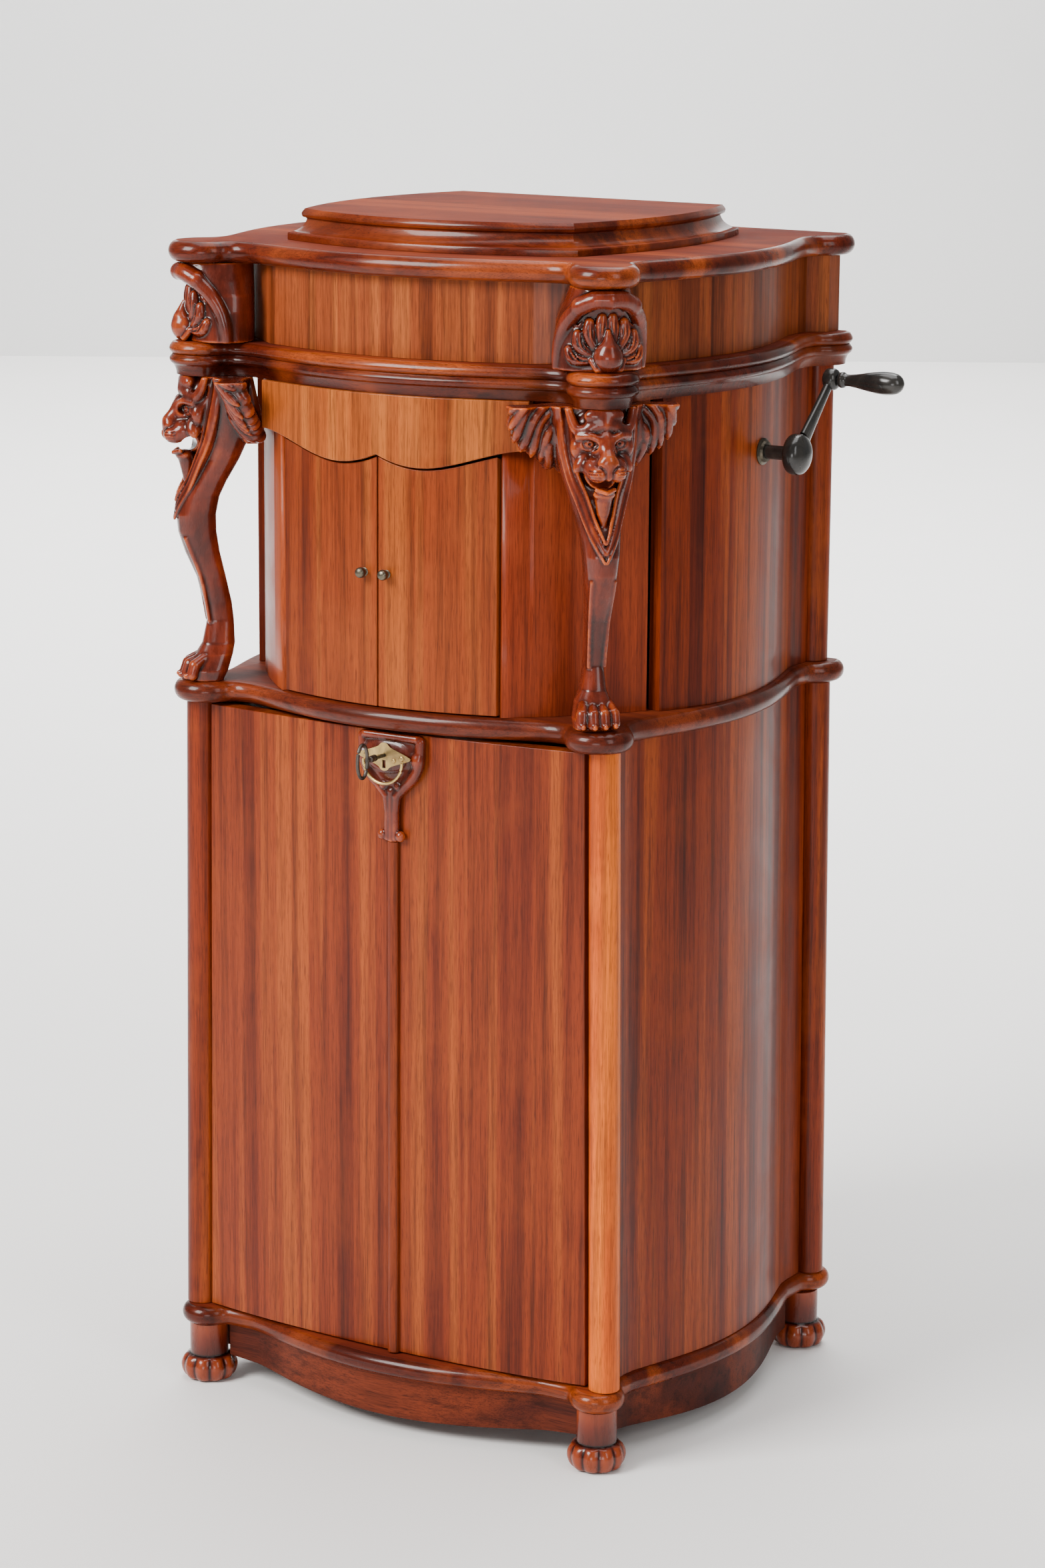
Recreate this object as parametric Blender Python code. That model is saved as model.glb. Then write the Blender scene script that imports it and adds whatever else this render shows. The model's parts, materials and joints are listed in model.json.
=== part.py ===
"""Upright cabinet gramophone with a hand crank, as an assembly of separate pieces.

Cabinet axes: x to the right, y to the back, z up from the floor, with the middle of the four corner
lobes at x = y = 0. Everything hangs on the empty "cabinet_frame", which is moved at the end so that the
middle of the whole object's footprint, crank included, is the world origin.
"""
import math

import bmesh
import bpy
from mathutils import Matrix, Vector

for old in list(bpy.data.objects):
    bpy.data.objects.remove(old)

# ---------------------------------------------------------------- driving dimensions, metres
GAP = 0.0003                 # between pieces that touch
CLEAR = 0.0015               # round the edge of a door
HALF_WIDTH = 0.2302          # corner lobe centres, shelf and lid
HALF_WIDTH_BASE = HALF_WIDTH + 0.0058   # the lower body flares
HALF_DEPTH = 0.2140          # corner lobe centres, front and rear
BACK = 0.2335                # flat back plane
REAR_LOBE_Y = BACK - 0.0140  # rear lobe centres: the back cuts them off
LOBE_R = 0.0345
LOBE_R_SHELF = 0.0335
LOBE_R_BASE = 0.0275
VALLEY_R = 0.0150            # concave fillet beside a lobe
FRONT_LOW = 0.2195           # front edge between lobe and bow
FRONT_BOW = 0.0370           # how far the front bows beyond that
FRONT_SPAN = HALF_WIDTH - 0.0522   # half width of the front bow
SIDE_LOW = HALF_WIDTH + 0.0153
SIDE_BOW = 0.0335
SIDE_SPAN = 0.1640
BASE_GROW = 0.0040           # how much wider the base outline is

FOOT_R = 0.0295
FOOT_H = 0.0275
STUB_R = 0.0200
BASE_Z = 0.0620              # underside of the base board
BASE_T = 0.0205
SHELF_Z = 0.7248             # underside of the middle shelf
SHELF_T = 0.0212
SPLIT_Z = SHELF_Z + SHELF_T + 0.3285   # the lid opens here
BODY_MOULD_T = 0.0205
LID_MOULD_T = 0.0125
FRIEZE_T = 0.0775
LID_TOP_T = 0.0210
PLINTH_T = 0.0300
PLINTH_HALF = HALF_WIDTH - 0.0627   # corner to middle
PLINTH_SHIFT = 0.0040        # the raised top sits a little to the right
PANEL_T = 0.0120
COLUMN_R = 0.0154
COLUMN_TOP_X = HALF_WIDTH + 0.0068        # lower columns lean outwards towards the base
COLUMN_LOW_X = HALF_WIDTH_BASE + 0.0080
PANEL_INSET = 0.0110         # outline to side panel face
FRIEZE_INSET = 0.0180

DOOR_T = 0.0180              # lower doors
DOOR_FACE_Y = 0.2225         # lower door front face at its outer edge
DOOR_BOW = 0.0165
DOOR_SPLIT_X = 0.0060        # the lower doors meet here
STRIP_W = 0.0120
STRIP_T = 0.0060
LOCK_Z = SHELF_Z - 0.0258    # key hole height
CARTOUCHE_H = 0.1080
CARTOUCHE_T = 0.0110

HORN_DOOR_W = HALF_WIDTH - 0.1047   # outer edge of each horn door
HORN_DOOR_T = 0.0160
HORN_DOOR_INSET = 0.0070
VALANCE_HALF = HALF_WIDTH - 0.0742
VALANCE_INSET = 0.0030
VALANCE_T = 0.0160
VALANCE_END_Z = SPLIT_Z - 0.0685   # scalloped lower edge: at its ends, lowest, and at its cusp
VALANCE_LOW_Z = SPLIT_Z - 0.0900
VALANCE_CUSP_Z = SPLIT_Z - 0.0795
NICHE_T = 0.0060
KNOB_Z = SHELF_Z + 0.1542

CRANK_Y = 0.0350
CRANK_Z = SPLIT_Z - 0.0883
CRANK_ARM = 0.0960
CRANK_LEAN = math.radians(45.5)   # from upright towards the back
CRANK_HUB_R = 0.0205
CRANK_HUB_X = SIDE_LOW + SIDE_BOW + 0.0270
GRIP_LEN = 0.0720
GRIP_R = 0.0115
SHAFT_R = 0.0070
RUN = 0.0004                 # running clearance of a shaft

GEAR_MODULE = 0.0025
PINION_TEETH = 10
WHEEL_TEETH = 36
GEAR_W = 0.0080
BARREL_R = 0.0340
CROWN_R = 0.0300
CROWN_TEETH = 36
SPINDLE_X = -0.0200
PLATTER_R = 0.1480
TONEARM_X = HALF_WIDTH - 0.0952
TONEARM_Y = 0.1500
TONEARM_LEN = 0.1850
HINGE_R = 0.0042

SHELF_TOP = SHELF_Z + SHELF_T
BASE_TOP = BASE_Z + BASE_T
BODY_MOULD_Z = SPLIT_Z - BODY_MOULD_T
LID_Z = SPLIT_Z + GAP
FRIEZE_Z = LID_Z + LID_MOULD_T + GAP
LID_TOP_Z = FRIEZE_Z + FRIEZE_T + GAP
PLINTH_Z = LID_TOP_Z + LID_TOP_T + GAP
BOARD_TOP = BODY_MOULD_Z - 0.0020
BOARD_T = 0.0120
BOARD_Z = BOARD_TOP - BOARD_T
REAR_COLUMN_X = HALF_WIDTH + 0.0030
BACK_HALF = REAR_COLUMN_X - COLUMN_R - 0.0015   # half width of the back panel

cabinet = bpy.data.objects.new("cabinet_frame", None)
bpy.context.scene.collection.objects.link(cabinet)


# ---------------------------------------------------------------- materials
def material(name, colour, roughness, metallic=0.0):
    made = bpy.data.materials.get(name)
    if made:
        return made
    made = bpy.data.materials.new(name)
    made.use_nodes = True
    shader = made.node_tree.nodes["Principled BSDF"]
    shader.inputs["Base Color"].default_value = (*colour, 1.0)
    shader.inputs["Roughness"].default_value = roughness
    shader.inputs["Metallic"].default_value = metallic
    return made


KINDS = {
    "veneer": ((0.38, 0.12, 0.035), 0.28, 0.0),
    "golden": ((0.42, 0.16, 0.045), 0.28, 0.0),
    "moulding": ((0.16, 0.03, 0.012), 0.22, 0.0),
    "carving": ((0.20, 0.045, 0.015), 0.26, 0.0),
    "column": ((0.45, 0.13, 0.035), 0.24, 0.0),
    "inside": ((0.22, 0.11, 0.06), 0.60, 0.0),
    "brass": ((0.55, 0.40, 0.14), 0.30, 1.0),
    "nickel": ((0.62, 0.60, 0.56), 0.22, 1.0),
    "black": ((0.01, 0.01, 0.01), 0.18, 0.0),
    "iron": ((0.10, 0.09, 0.08), 0.45, 1.0),
    "bronze": ((0.09, 0.08, 0.06), 0.35, 1.0),
}


# ---------------------------------------------------------------- mesh helpers
def finish_object(name, mesh_data, kind, origin=(0, 0, 0), smooth=True):
    """A named object in the cabinet's frame, from a bmesh in cabinet coordinates."""
    origin = Vector(origin)
    bmesh.ops.recalc_face_normals(mesh_data, faces=mesh_data.faces)
    bmesh.ops.translate(mesh_data, verts=mesh_data.verts, vec=-origin)
    mesh = bpy.data.meshes.new(name)
    mesh_data.to_mesh(mesh)
    mesh_data.free()
    mesh.materials.append(material(name + "_finish", *KINDS[kind]))
    if smooth:
        mesh.shade_smooth()
        mesh.set_sharp_from_angle(angle=math.radians(32))
    obj = bpy.data.objects.new(name, mesh)
    bpy.context.scene.collection.objects.link(obj)
    obj.parent = cabinet
    obj.location = origin
    return obj


def add_loft(mesh_data, rings, closed=False):
    """Quads between rings of equal length, with the first and last ring capped unless closed."""
    loops = [[mesh_data.verts.new(point) for point in ring] for ring in rings]
    pairs = list(zip(loops, loops[1:]))
    if closed:
        pairs.append((loops[-1], loops[0]))
    for low, high in pairs:
        count = len(low)
        for i in range(count):
            j = (i + 1) % count
            mesh_data.faces.new((low[i], low[j], high[j], high[i]))
    if not closed:
        mesh_data.faces.new(loops[0][::-1])
        mesh_data.faces.new(loops[-1])
    return loops


def loft(name, rings, kind, origin=(0, 0, 0), closed=False, smooth=True):
    mesh_data = bmesh.new()
    add_loft(mesh_data, rings, closed)
    return finish_object(name, mesh_data, kind, origin, smooth)


def frame_from(axis):
    """Two unit vectors that make a right-handed frame with axis."""
    axis = Vector(axis).normalized()
    side = Vector((0, 0, 1)) if abs(axis.z) < 0.9 else Vector((1, 0, 0))
    first = side.cross(axis).normalized()
    return first, axis.cross(first)


def turned_rings(profile, start, axis, steps):
    """Rings of a turned shape: profile is (radius, height along the axis)."""
    start = Vector(start)
    axis = Vector(axis).normalized()
    first, second = frame_from(axis)
    rings = []
    for radius, height in profile:
        centre = start + axis * height
        ring = []
        for i in range(steps):
            turn = 2 * math.pi * i / steps
            ring.append(centre + radius * (math.cos(turn) * first + math.sin(turn) * second))
        rings.append(ring)
    return rings


def turned(name, profile, start, axis, kind, steps=20, origin=None):
    rings = turned_rings(profile, start, axis, steps)
    return loft(name, rings, kind, start if origin is None else origin)


def prism(points, low, high):
    return [[Vector((x, y, z)) for x, y in points] for z in (low, high)]


def cut(target, mesh_rings, name):
    """Takes a loft away from an object with a Boolean modifier."""
    mesh_data = bmesh.new()
    add_loft(mesh_data, mesh_rings)
    cutter = finish_object(name, mesh_data, "inside", target.location, False)
    cutter.hide_render = True
    cutter.display_type = "WIRE"
    modifier = target.modifiers.new(name, "BOOLEAN")
    modifier.operation = "DIFFERENCE"
    modifier.solver = "EXACT"
    modifier.object = cutter
    return cutter


def join(target, other_rings, name):
    """Adds a loft to an object with a Boolean union."""
    cutter = cut(target, other_rings, name)
    target.modifiers[name].operation = "UNION"
    return cutter


# ---------------------------------------------------------------- plan outlines
def bow(share):
    """The serpentine bow: 1 in the middle, 0 at the ends, flat where it ends."""
    return (1 - min(1.0, abs(share)) ** 2) ** 1.25


def front_y(x, grow=0.0):
    return -(FRONT_LOW + grow + FRONT_BOW * bow(x / FRONT_SPAN))


def side_x(y, grow=0.0):
    return SIDE_LOW + grow + SIDE_BOW * bow(y / SIDE_SPAN)


def lobe_arcs(half_width, lobe_r, grow):
    """(centre, radius, first angle, last angle) of a front right corner's fillets and lobe, in order."""
    lobe = Vector((half_width, -HALF_DEPTH))
    reach = lobe_r + VALLEY_R
    rise = FRONT_LOW + grow + VALLEY_R - HALF_DEPTH
    front_fillet = lobe + Vector((-math.sqrt(reach ** 2 - rise ** 2), -rise))
    out = SIDE_LOW + grow + VALLEY_R - half_width
    side_fillet = lobe + Vector((out, math.sqrt(reach ** 2 - out ** 2)))
    first = math.atan2(-(lobe - front_fillet).y, -(lobe - front_fillet).x)
    last = math.atan2((side_fillet - lobe).y, (side_fillet - lobe).x)
    to_lobe = lobe - front_fillet
    to_side = lobe - side_fillet
    return (
        (front_fillet, -VALLEY_R, math.pi / 2, math.atan2(to_lobe.y, to_lobe.x)),
        (lobe, lobe_r, first, last),
        (side_fillet, -VALLEY_R, math.atan2(to_side.y, to_side.x) % (2 * math.pi), math.pi),
    )


def outline(half_width, lobe_r, grow, inset=0.0, fine=1):
    """Closed plan of a moulded board, anticlockwise from the middle of the front, moved in by inset."""
    right = []
    for i in range(7 * fine + 1):
        x = FRONT_SPAN * i / (7 * fine)
        slope = (front_y(x + 1e-4, grow) - front_y(x - 1e-4, grow)) / 2e-4
        normal = Vector((slope, -1)).normalized()
        right.append(Vector((x, front_y(x, grow))) - inset * normal)
    arcs = lobe_arcs(half_width, lobe_r, grow)
    for (centre, radius, first, last), steps in zip(arcs, (2, 9, 2)):
        for i in range(1, steps * fine + 1):
            turn = first + (last - first) * i / (steps * fine)
            out = Vector((math.cos(turn), math.sin(turn)))
            sign = 1 if radius > 0 else -1
            right.append(centre + out * (abs(radius) - sign * inset))
    for i in range(-4 * fine, 4 * fine + 1):
        y = SIDE_SPAN * i / (4 * fine)
        slope = (side_x(y + 1e-4, grow) - side_x(y - 1e-4, grow)) / 2e-4
        normal = Vector((1, -slope)).normalized()
        right.append(Vector((side_x(y, grow), y)) - inset * normal)
    centre, radius, first, last = arcs[2]
    for i in range(1, 2 * fine + 1):
        turn = -(last + (first - last) * i / (2 * fine))
        rear_fillet = Vector((centre.x, REAR_LOBE_Y - HALF_DEPTH - centre.y))
        right.append(rear_fillet + Vector((math.cos(turn), math.sin(turn))) * (VALLEY_R + inset))
    rear_r = lobe_r - inset
    start = -arcs[1][3]
    end = math.asin((BACK - REAR_LOBE_Y) / rear_r)
    for i in range(1, 4 * fine + 1):
        turn = start + (end - start) * i / (4 * fine)
        right.append(Vector((half_width + rear_r * math.cos(turn), REAR_LOBE_Y + rear_r * math.sin(turn))))
    left = [Vector((-p.x, p.y)) for p in reversed(right[1:])]
    return [(p.x, p.y) for p in right + left]


def moulded_board(name, half_width, lobe_r, grow, profile, kind="moulding"):
    """A board with the serpentine outline; profile is (inset, height) from the underside up."""
    rings = []
    for inset, height in profile:
        rings.append([Vector((x, y, height)) for x, y in outline(half_width, lobe_r, grow, inset)])
    return loft(name, rings, kind)


def bullnose(low, high, steps=3, depth=None):
    half = (high - low) / 2
    depth = half if depth is None else depth
    profile = []
    for i in range(steps + 1):
        turn = math.pi * i / steps
        profile.append((depth * (1 - math.sin(turn)), low + half * (1 - math.cos(turn))))
    return profile


def lid_opening(grow=0.0):
    """Plan of the well under the lid, with the front corners cut off."""
    half = HALF_WIDTH - 0.0252 + grow
    corner = HALF_WIDTH - 0.0952 + grow * 0.4
    return [
        (-corner, -0.1900 - grow), (corner, -0.1900 - grow),
        (half, -0.1150 - grow * 0.4), (half, 0.2130 + grow),
        (-half, 0.2130 + grow), (-half, -0.1150 - grow * 0.4),
    ]


# ---------------------------------------------------------------- base
def build_feet():
    for side, x in (("left", -HALF_WIDTH_BASE), ("right", HALF_WIDTH_BASE)):
        for end, y in (("front", -HALF_DEPTH), ("rear", REAR_LOBE_Y - 0.009)):
            profile = (
                (0.0190, 0.0), (FOOT_R * 0.88, 0.0035), (FOOT_R, FOOT_H * 0.50),
                (FOOT_R * 0.87, FOOT_H * 0.84),
                (STUB_R, FOOT_H), (STUB_R, BASE_Z - GAP),
            )
            turned(f"foot_{end}_{side}", profile, (x, y, 0), (0, 0, 1), "carving")


def strip_rings(path, thickness, low, high):
    """Sections of an upright curved strip: path gives (x, y, inward x, inward y, low, high)."""
    rings = []
    for x, y, nx, ny in path:
        bottom = low(x, y)
        top = high(x, y)
        inner = (x + nx * thickness, y + ny * thickness)
        rings.append([
            Vector((x, y, bottom)), Vector((*inner, bottom)), Vector((*inner, top)), Vector((x, y, top)),
        ])
    return rings


def front_path(half, inset, steps=12, grow=0.0, start=None):
    start = -half if start is None else start
    path = []
    for i in range(steps + 1):
        x = start + (half - start) * i / steps
        slope = (front_y(x + 1e-4) - front_y(x - 1e-4)) / 2e-4
        inward = Vector((-slope, 1)).normalized()
        path.append((x + inward.x * inset, front_y(x, grow) + inward.y * inset, inward.x, inward.y))
    return path


def side_path(low, high, inset, sign, steps=10, grow=0.0):
    path = []
    for i in range(steps + 1):
        y = low + (high - low) * i / steps
        slope = (side_x(y + 1e-4) - side_x(y - 1e-4)) / 2e-4
        inward = Vector((-1, slope)).normalized()
        x = side_x(y, grow) + inward.x * inset
        path.append((sign * x, y + inward.y * inset, sign * inward.x, inward.y))
    return path


def build_apron():
    top = BASE_Z - GAP
    reach = HALF_WIDTH_BASE - STUB_R - 0.0040

    def front_low(x, _):
        return 0.0170 + 0.0100 * (x / reach) ** 2

    def side_low(_, y):
        return 0.0160 + 0.0110 * (y / 0.185) ** 2

    path = front_path(reach, 0.0120, 12, BASE_GROW)
    loft("apron_front", strip_rings(path, 0.0140, front_low, lambda x, y: top), "moulding")
    for side, sign in (("left", -1), ("right", 1)):
        path = side_path(-0.188, 0.178, 0.0120, sign, 10, BASE_GROW)
        loft("apron_" + side, strip_rings(path, 0.0140, side_low, lambda x, y: top), "moulding")


# ---------------------------------------------------------------- lower body
def lower_share(z):
    """0 at the shelf, 1 at the base."""
    return (SHELF_Z - z) / (SHELF_Z - BASE_TOP)


def column_x(z):
    return COLUMN_TOP_X + (COLUMN_LOW_X - COLUMN_TOP_X) * lower_share(z)


def build_lower_body():
    low = BASE_TOP + GAP
    high = SHELF_Z - GAP
    rear_y = BACK - COLUMN_R - 0.0030
    for side, sign in (("left", -1), ("right", 1)):
        for end, y in (("front", -HALF_DEPTH), ("rear", rear_y)):
            rings = []
            for z in (low, high):
                rings.append(turned_rings([(COLUMN_R, 0)], (sign * column_x(z), y, z), (0, 0, 1), 20)[0])
            loft(f"lower_column_{end}_{side}", rings, "column")
        rings = []
        front = -HALF_DEPTH + COLUMN_R + 0.0015
        back = rear_y - COLUMN_R - 0.0015
        outer = side_path(front, back, PANEL_INSET, sign, 10)
        loft("lower_side_" + side, panel_rings(outer, sign, low, high), "veneer")


def panel_rings(path, sign, low, high):
    """Sections of a side panel that leans out towards the base with the columns."""
    spread = COLUMN_LOW_X - COLUMN_TOP_X
    rings = []
    for x, y, nx, ny in path:
        foot = x + sign * spread
        rings.append([
            Vector((foot, y, low)), Vector((foot + nx * PANEL_T, y + ny * PANEL_T, low)),
            Vector((x + nx * PANEL_T, y + ny * PANEL_T, high)), Vector((x, y, high)),
        ])
    return rings


def build_back_panel():
    half = BACK_HALF
    inner = BACK - 0.0080
    points = ((-half, inner), (half, inner), (half, BACK - GAP), (-half, BACK - GAP))
    loft("back_panel", prism(points, BASE_TOP + GAP, BODY_MOULD_Z - GAP), "inside", smooth=False)


def build_record_shelf():
    mid = (BASE_TOP + SHELF_Z) / 2
    half = BACK_HALF - 0.0020
    front = -0.170
    points = ((-half, front), (half, front), (half, BACK - 0.0080 - GAP), (-half, BACK - 0.0080 - GAP))
    loft("record_shelf", prism(points, mid - 0.006, mid + 0.006), "inside", smooth=False)


def build_boards():
    base_profile = bullnose(BASE_Z, BASE_TOP, 4, 0.0095)
    moulded_board("base_board", HALF_WIDTH_BASE, LOBE_R_BASE, BASE_GROW, base_profile)
    shelf_profile = bullnose(SHELF_Z, SHELF_TOP, 4, 0.0095)
    shelf = moulded_board("middle_shelf", HALF_WIDTH, LOBE_R_SHELF, 0.0, shelf_profile)
    half = BACK_HALF + 0.0005
    slot = ((-half, BACK - 0.0085), (half, BACK - 0.0085), (half, BACK + 0.01), (-half, BACK + 0.01))
    cut(shelf, prism(slot, SHELF_Z - 0.01, SHELF_TOP + 0.01), "back_panel_slot")


# ---------------------------------------------------------------- lower doors
def door_face(x):
    share = x / (COLUMN_TOP_X - COLUMN_R)
    return -(DOOR_FACE_Y + DOOR_BOW * (1 - share ** 2))


def door_edge(z):
    return column_x(z) - COLUMN_R - 0.0020


def lower_door_rings(sign, inner, steps=8):
    """Sections across a lower door from its inner edge to its slanted hinge edge."""
    low = BASE_TOP + CLEAR
    high = SHELF_Z - CLEAR - 0.0015
    rings = []
    for i in range(steps + 1):
        share = i / steps
        ring = []
        for z, back in ((low, 0.0), (low, 1.0), (high, 1.0), (high, 0.0)):
            x = inner + (door_edge(z) - inner) * share
            ring.append(Vector((sign * x, door_face(x) + back * DOOR_T, z)))
        rings.append(ring)
    return rings


DOOR_AXIS_Y = door_face(COLUMN_TOP_X - COLUMN_R) - 0.0020


def door_hinge(sign, z):
    return Vector((sign * (door_edge(z) + 0.0006), DOOR_AXIS_Y, z))


def build_lower_doors():
    mid = (BASE_TOP + SHELF_Z) / 2
    loft("lower_door_right", lower_door_rings(1, DOOR_SPLIT_X + CLEAR / 2), "veneer", door_hinge(1, mid))
    loft("lower_door_left", lower_door_rings(-1, -(DOOR_SPLIT_X - CLEAR / 2)), "veneer", door_hinge(-1, mid))
    hinge = door_hinge(1, mid)
    x = DOOR_SPLIT_X + CLEAR / 2 + STRIP_W / 2
    face = door_face(x) - GAP
    cartouche_low = LOCK_Z + 0.022 - CARTOUCHE_H
    section = []
    for i in range(7):
        turn = math.pi * i / 6
        rise = 0.0015 + (STRIP_T - 0.0015) * math.sin(turn)
        section.append((x - STRIP_W / 2 * math.cos(turn), face - rise))
    section += [(x + STRIP_W / 2, face), (x - STRIP_W / 2, face)]
    strip_top = cartouche_low - GAP
    loft("centre_astragal", prism(section[::-1], BASE_TOP + CLEAR, strip_top), "veneer", hinge)
    build_cartouche(x, hinge)


def build_cartouche(x, hinge):
    """The carved Y-shaped shield under the shelf, with the lock plate, ring, and key."""
    back = door_face(0.0) - 2 * GAP
    front = back - CARTOUCHE_T
    high = SHELF_Z - CLEAR - 0.0015
    low = LOCK_Z + 0.022 - CARTOUCHE_H
    widths = (
        (0.0, 0.0120), (0.05, 0.0150), (0.10, 0.0145), (0.18, 0.0105), (0.30, 0.0105),
        (0.45, 0.0165), (0.60, 0.0270), (0.75, 0.0350), (0.88, 0.0375), (1.0, 0.0365),
    )
    rings = []
    for share, half in widths:
        z = low + (high - low) * share
        edge = front + 0.0035
        rings.append([
            Vector((x - half, back, z)), Vector((x - half, edge, z)), Vector((x - half * 0.8, front, z)),
            Vector((x + half * 0.8, front, z)), Vector((x + half, edge, z)), Vector((x + half, back, z)),
        ])
    loft("lock_cartouche", rings, "carving", hinge)
    build_lock(x - 0.0035, front - GAP, hinge)


def build_lock(x, face, hinge):
    """Brass plate with its two rosettes, the half-round ring and the key."""
    plate_t = 0.0012
    points = []
    for i in range(40):
        turn = 2 * math.pi * i / 40
        wide = 0.0235 * abs(math.cos(turn)) ** 1.6
        half = 0.0090 + wide * (abs(math.cos(turn)) > 0.55)
        tall = 0.0145 * (1 if half < 0.012 else 0.75)
        points.append((x + half * math.cos(turn), LOCK_Z + tall * math.sin(turn)))
    rings = [[Vector((px, face - depth, pz)) for px, pz in points] for depth in (0.0, plate_t)]
    plate = loft("lock_escutcheon", rings, "brass", hinge, smooth=False)
    left, right, inner, outer = x - 0.0021, x + 0.0021, face + 0.001, face - 0.01
    slot = ((left, inner), (right, inner), (right, outer), (left, outer))
    cut(plate, prism(slot, LOCK_Z - 0.0115, LOCK_Z - 0.0035), "key_slot")
    front = face - plate_t - GAP
    ring_r = 0.0225
    ring_y = front - 0.0022
    tube = 0.0016
    rings = []
    for i in range(17):
        turn = math.pi + math.pi * i / 16
        centre = Vector((x + ring_r * math.cos(turn), ring_y, LOCK_Z - 0.0040 + ring_r * math.sin(turn)))
        out = Vector((math.cos(turn), 0, math.sin(turn)))
        rings.append([
            centre + tube * (math.cos(a) * out + math.sin(a) * Vector((0, 1, 0)))
            for a in (2 * math.pi * k / 8 for k in range(8))
        ])
    loft("ring_pull", rings, "brass", (x, ring_y, LOCK_Z - 0.0040))
    build_key(x, front)


KEY_STEM_R = 0.0021
KEY_LEN = 0.0300


def build_key(x, front):
    """Stem along -y out of the key hole and an open oval bow at its end."""
    hub = Vector((x, front, LOCK_Z + 0.0015))
    stem = (
        (KEY_STEM_R, 0.0), (KEY_STEM_R, KEY_LEN * 0.55), (0.0032, KEY_LEN * 0.60),
        (0.0032, KEY_LEN * 0.78), (KEY_STEM_R, KEY_LEN * 0.82), (KEY_STEM_R, KEY_LEN),
    )
    key = turned("key", stem, hub, (0, -1, 0), "iron", 10)
    bow_h = 0.0165
    bow_w = 0.0085
    rings = []
    for i in range(20):
        turn = 2 * math.pi * i / 20
        reach = -KEY_LEN - bow_w + 0.0012 + bow_w * math.cos(turn)
        centre = hub + Vector((0.0, reach, bow_h * math.sin(turn)))
        out = Vector((0, math.cos(turn), math.sin(turn)))
        rings.append([
            centre + 0.0018 * (math.cos(a) * out + math.sin(a) * Vector((1, 0, 0)))
            for a in (2 * math.pi * k / 6 for k in range(6))
        ])
    mesh_data = bmesh.new()
    add_loft(mesh_data, rings, closed=True)
    bow_object = finish_object("key_bow", mesh_data, "iron", hub)
    bow_object.hide_render = True
    bow_object.display_type = "WIRE"
    modifier = key.modifiers.new("bow", "BOOLEAN")
    modifier.operation = "UNION"
    modifier.solver = "EXACT"
    modifier.object = bow_object


# ---------------------------------------------------------------- upper body
UPPER_FRONT_Y = -0.1160
UPPER_T = 0.0150
NICHE_BULGE = 0.0050


def upper_side_path(low, high, steps=10):
    """Like the shelf's side, but drawn in towards its front edge."""
    path = []
    for x, y, nx, ny in side_path(low, high, PANEL_INSET, 1, steps):
        share = min(1.0, max(0.0, (-y - 0.020) / (-UPPER_FRONT_Y - 0.020)))
        path.append((x - 0.0120 * share ** 2, y, nx, ny))
    return path


def niche_plan():
    """Curved corner panel behind the right lion leg, from the horn door round to the side panel."""
    start = Vector((HORN_DOOR_W + 0.0030, front_y(HORN_DOOR_W) + HORN_DOOR_INSET + 0.0010))
    x, y, nx, ny = upper_side_path(UPPER_FRONT_Y, 0.0, 4)[0]
    end = Vector((x - UPPER_T * 0.55, y - 0.0012))
    along = (end - start).normalized()
    outward = Vector((along.y, -along.x))
    outer = []
    inner = []
    for i in range(9):
        share = i / 8
        point = start.lerp(end, share) + outward * NICHE_BULGE * (1 - (2 * share - 1) ** 2)
        outer.append(point)
        inner.append(point - outward * NICHE_T)
    return outer, inner


def build_upper_body():
    low = SHELF_TOP + GAP
    high = BODY_MOULD_Z - GAP
    rear_y = BACK - COLUMN_R - 0.0030
    outer, inner = niche_plan()
    for side, sign in (("left", -1), ("right", 1)):
        start = (sign * REAR_COLUMN_X, rear_y, low)
        column = turned_rings([(COLUMN_R, 0), (COLUMN_R, high - low)], start, (0, 0, 1), 20)
        loft("upper_column_rear_" + side, column, "column")
        path = [(sign * x, y, sign * nx, ny) for x, y, nx, ny in
                upper_side_path(UPPER_FRONT_Y, rear_y - COLUMN_R - 0.0015)]
        panel_sections = strip_rings(path, UPPER_T, lambda x, y: low, lambda x, y: high)
        panel = loft("upper_side_" + side, panel_sections, "veneer")
        if sign > 0:
            hole = turned_rings([(SHAFT_R + RUN, -0.03), (SHAFT_R + RUN, 0.03)],
                                (side_x(CRANK_Y) - PANEL_INSET, CRANK_Y, CRANK_Z), (1, 0, 0), 20)
            cut(panel, hole, "crank_hole")
        rings = []
        for out, back in zip(outer, inner):
            rings.append([
                Vector((sign * out.x, out.y, low)), Vector((sign * back.x, back.y, low)),
                Vector((sign * back.x, back.y, high)), Vector((sign * out.x, out.y, high)),
            ])
        niche = loft("niche_panel_" + side, rings, "veneer")
        room = strip_rings(front_path(VALANCE_HALF + 0.0006, VALANCE_INSET - 0.0010, 20), VALANCE_T + 0.0014,
                           lambda x, y: valance_low(x) - GAP, lambda x, y: high + 0.01)
        cut(niche, room, "valance_room_" + side)


def valance_low(x):
    """The scalloped lower edge: a cusp in the middle, a dip each side and a rise to the ends."""
    x = abs(x)
    dip = 0.0480
    if x < dip:
        share = x / dip
        return VALANCE_LOW_Z + (VALANCE_CUSP_Z - VALANCE_LOW_Z) * (1 - share) ** 2
    share = (x - dip) / (VALANCE_HALF - dip)
    return VALANCE_LOW_Z + (VALANCE_END_Z - VALANCE_LOW_Z) * (3 * share ** 2 - 2 * share ** 3)


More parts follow.
